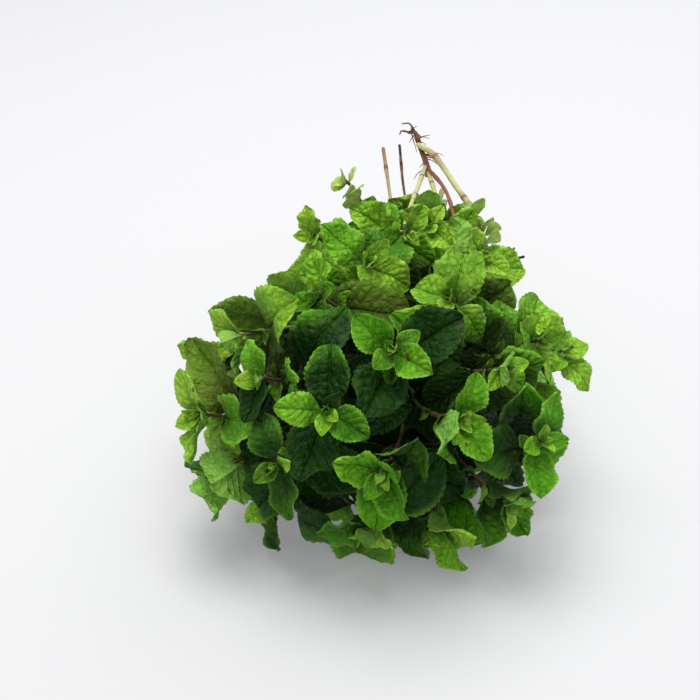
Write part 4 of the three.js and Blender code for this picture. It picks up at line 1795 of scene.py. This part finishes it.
@dataclass
class LeafyStem:
    """One leafy stem: the square stem, its grown leaves, those lower down, and small ones at tip and axils.

    Deepens and ages are the leaf lengths in millimetres over which the green deepens and the youth fades.
    """

    stem: Stem
    layout: Layout
    moulds: Moulds
    leaves: list[Leaf]
    inner: list[Leaf] = field(default_factory=list)
    node_swell: float = 0.22
    swell_reach: float = 1.8
    purple_reach: float = 60.0
    squareness: float = 0.2
    tip_pairs: tuple[PairSizes, ...] = (
        PairSizes(2.5, 14, 46, 10),
        PairSizes(1.0, 9, 26, -8),
        PairSizes(-1.0, 5, 12, -14),
    )
    young_tip_pairs: tuple[PairSizes, ...] = (
        PairSizes(9, 12, 60, 15),
        PairSizes(1.5, 9, 34, 5),
        PairSizes(17, 12, 76, 20),
    )
    tip_width: float = 0.66
    young_tip_width: float = 0.95
    stray_tip_turn: Range = (-14, 14)
    axil_width: float = 0.62
    axil_below: float = 1.5
    axil_lengths: Range = (7, 14)
    axil_turns: Range = (30, 65)
    axil_leans: Range = (26, 50)
    axil_arch: float = 12
    small_slack: float = 0.5
    young_slack: float = 0.35
    # painted shade inside the bunch: how much it darkens a leaf and how much of its yellow it takes away
    painted_shade_inside: float = 1.15
    painted_shade_fades_youth: float = 0.8
    tones: Range = (-0.1, 1.0)
    deepens: Range = (8.0, 46.0)
    small_tone: float = 0.45
    # painted shade on the leaves added lower down the stems, inside the bunch
    freshness_and_shade_tone: float = 0.4
    inner_painted_shade: float = -0.3
    young_youths: Range = (1.0, 1.4)
    ages: Range = (6.0, 20.0)
    small_youth: float = 0.5
    stray_youth: Range = (0.4, 1.0)
    freshness_and_shade_youth: float = 0.6
    yellow_youth: float = 0.4
    yellow_above: float = 0.93

    def small_leaves(self) -> list[Leaf]:
        """The young leaves round the tip, and pairs of small ones in the leaves' axils.

        Returns:
            The leaves.
        """
        stem = self.stem
        young = stem.kind is YOUNG
        found = []
        width = self.young_tip_width if young else self.tip_width
        for ring, sizes in enumerate(self.young_tip_pairs if young else self.tip_pairs):
            for half in (0, 1):
                key = FIRST_SMALL_KEY + ring * 2 + half
                turn = stem.row.turn - 90 * (ring + 1) + 180 * half
                turn += stem.stray(self.stray_tip_turn, key, Use.TURN)
                found.append(stem.leaf(key, sizes.from_tip, turn, sizes, width, Bend()))
        if young:
            return found
        for leaf in self.leaves:
            pair, half = divmod(leaf.key, 2)
            if pair == 0:
                continue
            turn = stem.row.turn + 90 * pair + 180 * half
            length = stem.stray(self.axil_lengths, leaf.key, Use.AXIL_LENGTH)
            for side in (0, 1):
                key = FIRST_AXIL_KEY + leaf.key * 2 + side
                aside = (-1, 1)[side] * stem.stray(self.axil_turns, key, Use.AXIL_TURN)
                lean = stem.stray(self.axil_leans, key, Use.AXIL_LEAN)
                sizes = PairSizes(0, length, lean, self.axil_arch)
                node = stem.node_from_tip(pair) - self.axil_below
                found.append(stem.leaf(key, node, turn + aside, sizes, self.axil_width, Bend()))
        return found

    def tone(self, leaf: Leaf) -> float:
        """How fresh a leaf's green is: lighter if small, set partly by its stem's row, whose values below 0 are
        partly painted shade, and darker by painted shade where it is one of the leaves added low down the stem,
        inside the bunch.

        Args:
            leaf: the leaf.

        Returns:
            The tone, from deep at 0 to fresh at 1.
        """
        by_size = self.small_tone * (1 - float(smooth(*self.deepens, np.array(leaf.length))))
        chance = self.stem.stray(self.tones, leaf.key, Use.TONE)
        # painted shade: the leaves added lower down the stems, inside the bunch, are darker
        inside = self.inner_painted_shade if FIRST_INNER_KEY <= leaf.key < FIRST_SMALL_KEY else 0.0
        # the row's tone, which below 0 is partly painted shade on stems that lie low, in front or inside the
        # bunch
        return chance + by_size + self.freshness_and_shade_tone * self.stem.row.freshness_and_shade + inside

    def youth(self, leaf: Leaf) -> float:
        """How yellow and thin a leaf is.

        Args:
            leaf: the leaf.

        Returns:
            The youth, from 0 for a grown leaf to 1 and more for a pale one.
        """
        chance = draw(leaf.stem, leaf.key, Use.YOUTH)
        if self.stem.kind is YOUNG:
            return between(*self.young_youths, chance)
        small = 1 - float(smooth(*self.ages, np.array(leaf.length)))
        yellowed = self.yellow_youth if chance > self.yellow_above else 0.0
        freshness_and_shade = self.stem.row.freshness_and_shade
        # a row below 0 also takes yellow from its leaves, partly as painted shade
        by_size = self.small_youth * small * between(*self.stray_youth, chance) * min(1.0, 1.0 + freshness_and_shade)
        return max(by_size, yellowed, self.freshness_and_shade_youth * freshness_and_shade * chance)

    def leaf_copy(self, leaf: Leaf, mould: LeafMould, slack: float = 1.0) -> bpy.types.Object:
        """A copy of the mould for one leaf.

        Args:
            leaf: the leaf.
            mould: the mould to copy.
            slack: how strongly its edge waves and curls.

        Returns:
            The copy.
        """
        points = RELIEF.points(leaf, mould, slack)
        under = np.where(mould.layer < 0, 1.0, 0.0)
        # painted shade: leaves deep inside the bunch are darkened and lose their yellow, by how deep they lie
        depth = 0.0 if self.stem.kind is YOUNG else self.layout.depth(points)
        tone = self.tone(leaf) - self.painted_shade_inside * depth
        youth = self.youth(leaf) * (1 - self.painted_shade_fades_youth * depth)
        return mould.copy_at(points, tone=tone, youth=youth, under=under)

    def stem_copy(self) -> bpy.types.Object:
        """The square stem, thickened a little at each pair of leaves.

        Returns:
            The stem.
        """
        stem, mould = self.stem, self.moulds.stem
        share = mould.corners[:, 2]
        from_tip = (1 - share) * stem.line.total
        radius = between(stem.tip, stem.base, 1 - share)
        for pair in range(stem.row.pairs):
            away = (from_tip - stem.node_from_tip(pair)) / self.swell_reach
            radius = radius * (1 + self.node_swell * np.exp(-(away**2)))
        radius = radius * mould.squareness(self.squareness)
        tone = draw(stem.index, 0, Use.STEM_TONE)
        return mould.copy_along(stem.line, radius, tone=tone, from_tip=from_tip / self.purple_reach)

    def build(self) -> bpy.types.Object:
        """Makes the piece.

        Returns:
            The stem with all its leaves, as one piece.
        """
        parts = [self.stem_copy()]
        slack = self.young_slack if self.stem.kind is YOUNG else 1.0
        parts += [self.leaf_copy(leaf, self.moulds.fine, slack) for leaf in self.leaves]
        parts += [self.leaf_copy(leaf, self.moulds.inner) for leaf in self.inner]
        parts += [self.leaf_copy(leaf, self.moulds.small, self.small_slack) for leaf in self.small_leaves()]
        return join(f"fresh_{self.stem.name}", parts)

    def dress(self, piece: bpy.types.Object) -> None:
        """Ties the piece to the solid that it stands for.

        Args:
            piece: the built piece.
        """
        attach(piece, BODY)
        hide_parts(self.stem.name)
        grown = len(self.leaves) + len(self.inner)
        LOG.info("%s: %d faces, %d leaves", piece.name, len(piece.data.polygons), grown)


FIRST_STALK_INDEX = 90
NEVER_NOTHING = 0.01  # keeps a vector from having no length


@dataclass
class Stalk:
    """A stripped stalk, twig or runner with its knots, and fine roots where it has them.

    Each row of bumps is a height as a share of the radius, the number of waves round the tube, and how many
    radians of wave run along it.
    """

    row: StalkRow
    index: int
    moulds: Moulds
    knots_every: float = 36.0
    knot: float = 0.25
    knot_narrow: int = 12
    ring: float = 0.55
    ring_narrow: int = 80
    dark_end: Range = (0.72, 0.95)
    slimmer: float = 0.82
    bumps: tuple[tuple[float, int, int], ...] = ((0.03, 3, 40), (0.02, 2, 90))
    bump_starts: float = 6.0
    root_count: int = 16
    root_places: Range = (0.05, 0.98)
    root_reach: Range = (4, 13)
    root_aside: Range = (-0.6, 0.6)
    root_drop: Range = (0.1, 0.7)
    root_steps: int = 16
    root_straight: float = 0.4
    root_swerve: float = 0.3
    root_radii: Range = (0.42, 0.14)
    root_tone: float = 0.15
    root_dried: float = 0.3

    def tube_copy(self, number: int, tube: TubeRow) -> bpy.types.Object:
        """One tube, with knots along it and an uneven skin.

        Args:
            number: the tube's number, which its draws go by.
            tube: its points, thickness and skin.

        Returns:
            The tube.
        """
        line = spline_line(tube.through)
        mould = self.moulds.stalk
        share = mould.corners[:, 2]
        angle = np.arctan2(mould.corners[:, 1], mould.corners[:, 0])
        knots = max(3, 2 * round(line.total / self.knots_every))
        peak = np.abs(np.sin(np.pi * share * knots / 2))
        start = draw(self.index, number, Use.UNEVEN) * self.bump_starts
        uneven = sum(
            height * np.sin(rounds * angle + runs * share + start) for height, rounds, runs in self.bumps
        )
        knobbly = 1 + self.knot * peak**self.knot_narrow + uneven
        radius = self.slimmer * between(tube.start, tube.end, share) * knobbly
        green, dark = tube.skin.value
        dried = dark * smooth(*self.dark_end, share) + self.ring * peak**self.ring_narrow
        return mould.copy_along(line, radius, tone=green, dried=dried)

    def root_copies(self) -> list[bpy.types.Object]:
        """Fine roots from the knobbly end of the runner.

        Returns:
            The roots.
        """
        crown = spline_line(self.row.tubes[0].through)
        mould = self.moulds.root
        roots = []
        for number in range(self.root_count):
            uses = (Use.ROOT_PLACE, Use.ROOT_TURN, Use.ROOT_REACH, Use.ROOT_ASIDE, Use.ROOT_DROP)
            place, turn, length, aside, drop = (draw(number, self.index, use) for use in uses)
            at, along, across = crown.place(between(*self.root_places, place) * crown.total)
            out = turned(across, along, 2 * math.pi * turn)
            reach = between(*self.root_reach, length**2)
            sideways = unit(np.cross(out, UP) + NEVER_NOTHING) * between(*self.root_aside, aside)
            heading = out + sideways - UP * between(*self.root_drop, drop)
            bent = at + between(out, sideways, self.root_swerve) * reach
            route = (at, at + out * reach * self.root_straight, bent, at + heading * reach)
            line = bezier_line(route, self.root_steps)
            share = mould.corners[:, 2]
            radius = between(*self.root_radii, share)
            roots.append(mould.copy_along(line, radius, tone=self.root_tone, dried=self.root_dried * share))
        return roots

    def build(self) -> bpy.types.Object:
        """Makes the piece.

        Returns:
            The stalk with its side stalks and roots, as one piece.
        """
        parts = [self.tube_copy(number, tube) for number, tube in enumerate(self.row.tubes)]
        if self.row.slot == "runner":
            parts += self.root_copies()
        return join(f"bare_{self.row.name}", parts)

    def dress(self, piece: bpy.types.Object) -> None:
        """Ties the piece to the solid that it stands for.

        Args:
            piece: the built piece.
        """
        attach(piece, BODY)
        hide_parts(self.row.name)
        LOG.info("%s: %d faces", piece.name, len(piece.data.polygons))


@dataclass
class Bunch:
    """The whole bunch: its stems and shoots with all their leaves, and its stalks."""

    layout: Layout = field(default_factory=Layout)
    moulds: Moulds = field(default_factory=Moulds)
    room: Room = field(default_factory=Room)
    inner_rows: tuple[PairSizes, ...] = (
        PairSizes(50, 38, 72, 42),
        PairSizes(66, 36, 74, 36),
        PairSizes(84, 34, 70, 30),
    )
    crowding: float = 0.03
    lowest: float = 1.0
    stem_radii: Range = (1.7, 0.8)
    shoot_radii: Range = (1.2, 0.7)
    clear_of_root: float = 0.2
    tests_along: int = 16
    tests_across: int = 11
    stem_tests: int = 160
    inner_turn: Range = (-20, 20)

    def stems(self) -> list[Stem]:
        """Every stem and shoot, with the line that it follows.

        Returns:
            The stems, in the order that their draws go by.
        """
        places = self.layout.places()
        stems = []
        for i, row in enumerate(STEM_ROWS):
            shorter = between(self.layout.shortest, self.layout.longest, draw(i, 0, Use.CUT_END))
            line = self.layout.line(row, i, places[i], shorter)
            stems.append(Stem(f"leafy_stem_{row.name}", i, row, GROWN, line, *self.stem_radii))
        for i, row in enumerate(SHOOT_ROWS, len(STEM_ROWS)):
            stems.append(Stem(row.name, i, row, row.kind, bezier_line(row.route), *self.shoot_radii))
        return stems

    def test_points(self, leaf: Leaf) -> np.ndarray:
        """Points spread over a leaf beyond its root, for testing what it meets.

        Args:
            leaf: the leaf.

        Returns:
            One row for each point.
        """
        along = np.linspace(self.clear_of_root, 1.0, self.tests_along)
        across = np.linspace(-1, 1, self.tests_across)
        along, across = (shares.ravel() for shares in np.meshgrid(along, across))
        middle, facing, aside = leaf.frames(along)
        wide = leaf.half_width * FORM.width_at(FORM.on_blade(along)) * across
        lift = np.abs(wide) * math.sin(leaf.fold)
        return middle + aside * (wide * math.cos(leaf.fold))[:, None] + facing * lift[:, None]

    def fill(self, leafy: list[LeafyStem]) -> None:
        """Adds leaves lower down the stems wherever there is room between the others.

        Args:
            leafy: every leafy stem, with the leaves of the solids.
        """
        for one in leafy:
            points, _, _ = one.stem.line.spread(np.linspace(0, 1, self.stem_tests))
            self.room.take(points)
            for leaf in one.leaves:
                self.room.take(self.test_points(leaf))
        for pair, sizes in enumerate(self.inner_rows, 3):
            for one in leafy[: len(STEM_ROWS)]:
                for half in (0, 1):
                    leaf = self.roomy_leaf(one.stem, pair, half, sizes)
                    if leaf is not None:
                        one.inner.append(leaf)
                        self.room.take(self.test_points(leaf))

    def roomy_leaf(self, stem: Stem, pair: int, half: int, sizes: PairSizes) -> Leaf | None:
        """The first way of bending a further leaf that keeps it clear of the others, or none.

        Args:
            stem: the stem it grows on.
            pair: which pair from the tip.
            half: which leaf of the pair.
            sizes: its length, lean and arch.

        Returns:
            The leaf, if any.
        """
        key = FIRST_INNER_KEY + pair * 2 + half
        turn = stem.row.turn + 90 * pair + 180 * half + stem.stray(self.inner_turn, key, Use.TURN)
        for bend in ways_to_bend():
            leaf = stem.leaf(key, sizes.from_tip, turn, sizes, GROWN.width, bend)
            points = self.test_points(leaf)
            if points[:, 2].min() > self.lowest and self.room.crowded(points) <= self.crowding:
                return leaf
        return None

    def build(self) -> None:
        """Makes and dresses every piece of the bunch."""
        self.moulds.build()
        finder = LeafFinder()
        leafy = [LeafyStem(stem, self.layout, self.moulds, finder.find(stem)) for stem in self.stems()]
        self.fill(leafy)
        counts = [sum(len(one.leaves) for one in leafy), sum(len(one.inner) for one in leafy)]
        LOG.info("%d leaves found in the solids, %d added between them", *counts)
        stalks = [Stalk(row, i, self.moulds) for i, row in enumerate(STALK_ROWS, FIRST_STALK_INDEX)]
        for one in (*leafy, *stalks):
            one.dress(one.build())
        self.moulds.remove()


# ---------------------------------------------------------------- studio


@dataclass(frozen=True)
class Lamp:
    """One square soft lamp: where it hangs, its side in metres, its power in watts and its colour."""

    name: str
    at: Point
    size: float
    power: float
    colour: Colour

    def hang(self, aim: Point) -> None:
        """Hangs the lamp.

        Args:
            aim: the point that it shines at.
        """
        bpy.ops.object.light_add(type="AREA", location=self.at)
        lamp = bpy.context.object
        lamp.name = self.name
        lamp.rotation_euler = (Vector(aim) - Vector(self.at)).to_track_quat("-Z", "Y").to_euler()
        lamp.data.size = self.size
        lamp.data.energy = self.power
        lamp.data.color = self.colour


@dataclass(frozen=True)
class Studio:
    """A pale floor, soft light from above and the camera at the photograph's angle."""

    aim: Point = (-0.0134, -0.0522, 0.066)
    elevation: float = 33.0
    distance: float = 0.85
    lens: float = 93.0
    sensor: float = 36.0
    sees_to: float = 50.0
    floor_size: float = 12.0
    sky: Colour = (0.96, 0.98, 1.0)
    sky_strength: float = 0.52
    lamps: tuple[Lamp, ...] = (
        Lamp("key_light", (-0.12, 0.10, 1.28), 1.0, 15.5, (1.0, 0.99, 0.96)),
        Lamp("back_light", (0.5, 0.9, 0.9), 0.9, 4.0, (0.97, 0.98, 1.0)),
        Lamp("floor_fill", (-0.1, -1.5, 0.5), 1.6, 5.0, (0.98, 0.99, 1.0)),
    )

    def camera(self) -> None:
        """Sets up the camera."""
        slope = math.radians(self.elevation)
        aim = Vector(self.aim)
        at = aim + Vector((0, -math.cos(slope), math.sin(slope))) * self.distance
        bpy.ops.object.camera_add(location=at)
        camera = bpy.context.object
        camera.rotation_euler = (aim - at).to_track_quat("-Z", "Y").to_euler()
        camera.data.lens = self.lens
        camera.data.sensor_width = self.sensor
        camera.data.clip_end = self.sees_to
        bpy.context.scene.camera = camera

    def floor(self) -> None:
        """Lays the floor that the bunch lies on."""
        deselect()
        bpy.ops.mesh.primitive_plane_add(size=self.floor_size)
        floor = bpy.context.object
        floor.name = "pale_floor"
        floor.data.materials.append(FloorFinish().material())

    def lights(self) -> None:
        """Hangs the lamps and sets the sky."""
        for lamp in self.lamps:
            lamp.hang(self.aim)
        world = bpy.data.worlds.new("soft_sky")
        world.use_nodes = True
        sky = world.node_tree.nodes["Background"]
        sky.inputs["Color"].default_value = (*self.sky, 1.0)
        sky.inputs["Strength"].default_value = self.sky_strength
        bpy.context.scene.world = world

    def build(self) -> None:
        """Sets up the studio."""
        bpy.context.scene.view_settings.view_transform = "Standard"
        self.camera()
        self.floor()
        self.lights()


def main() -> None:
    """Builds the studio and the bunch, in that order."""
    logging.basicConfig(level=logging.INFO, format="%(name)s: %(message)s")
    Studio().build()
    Bunch().build()


if __name__ == "__main__":
    main()
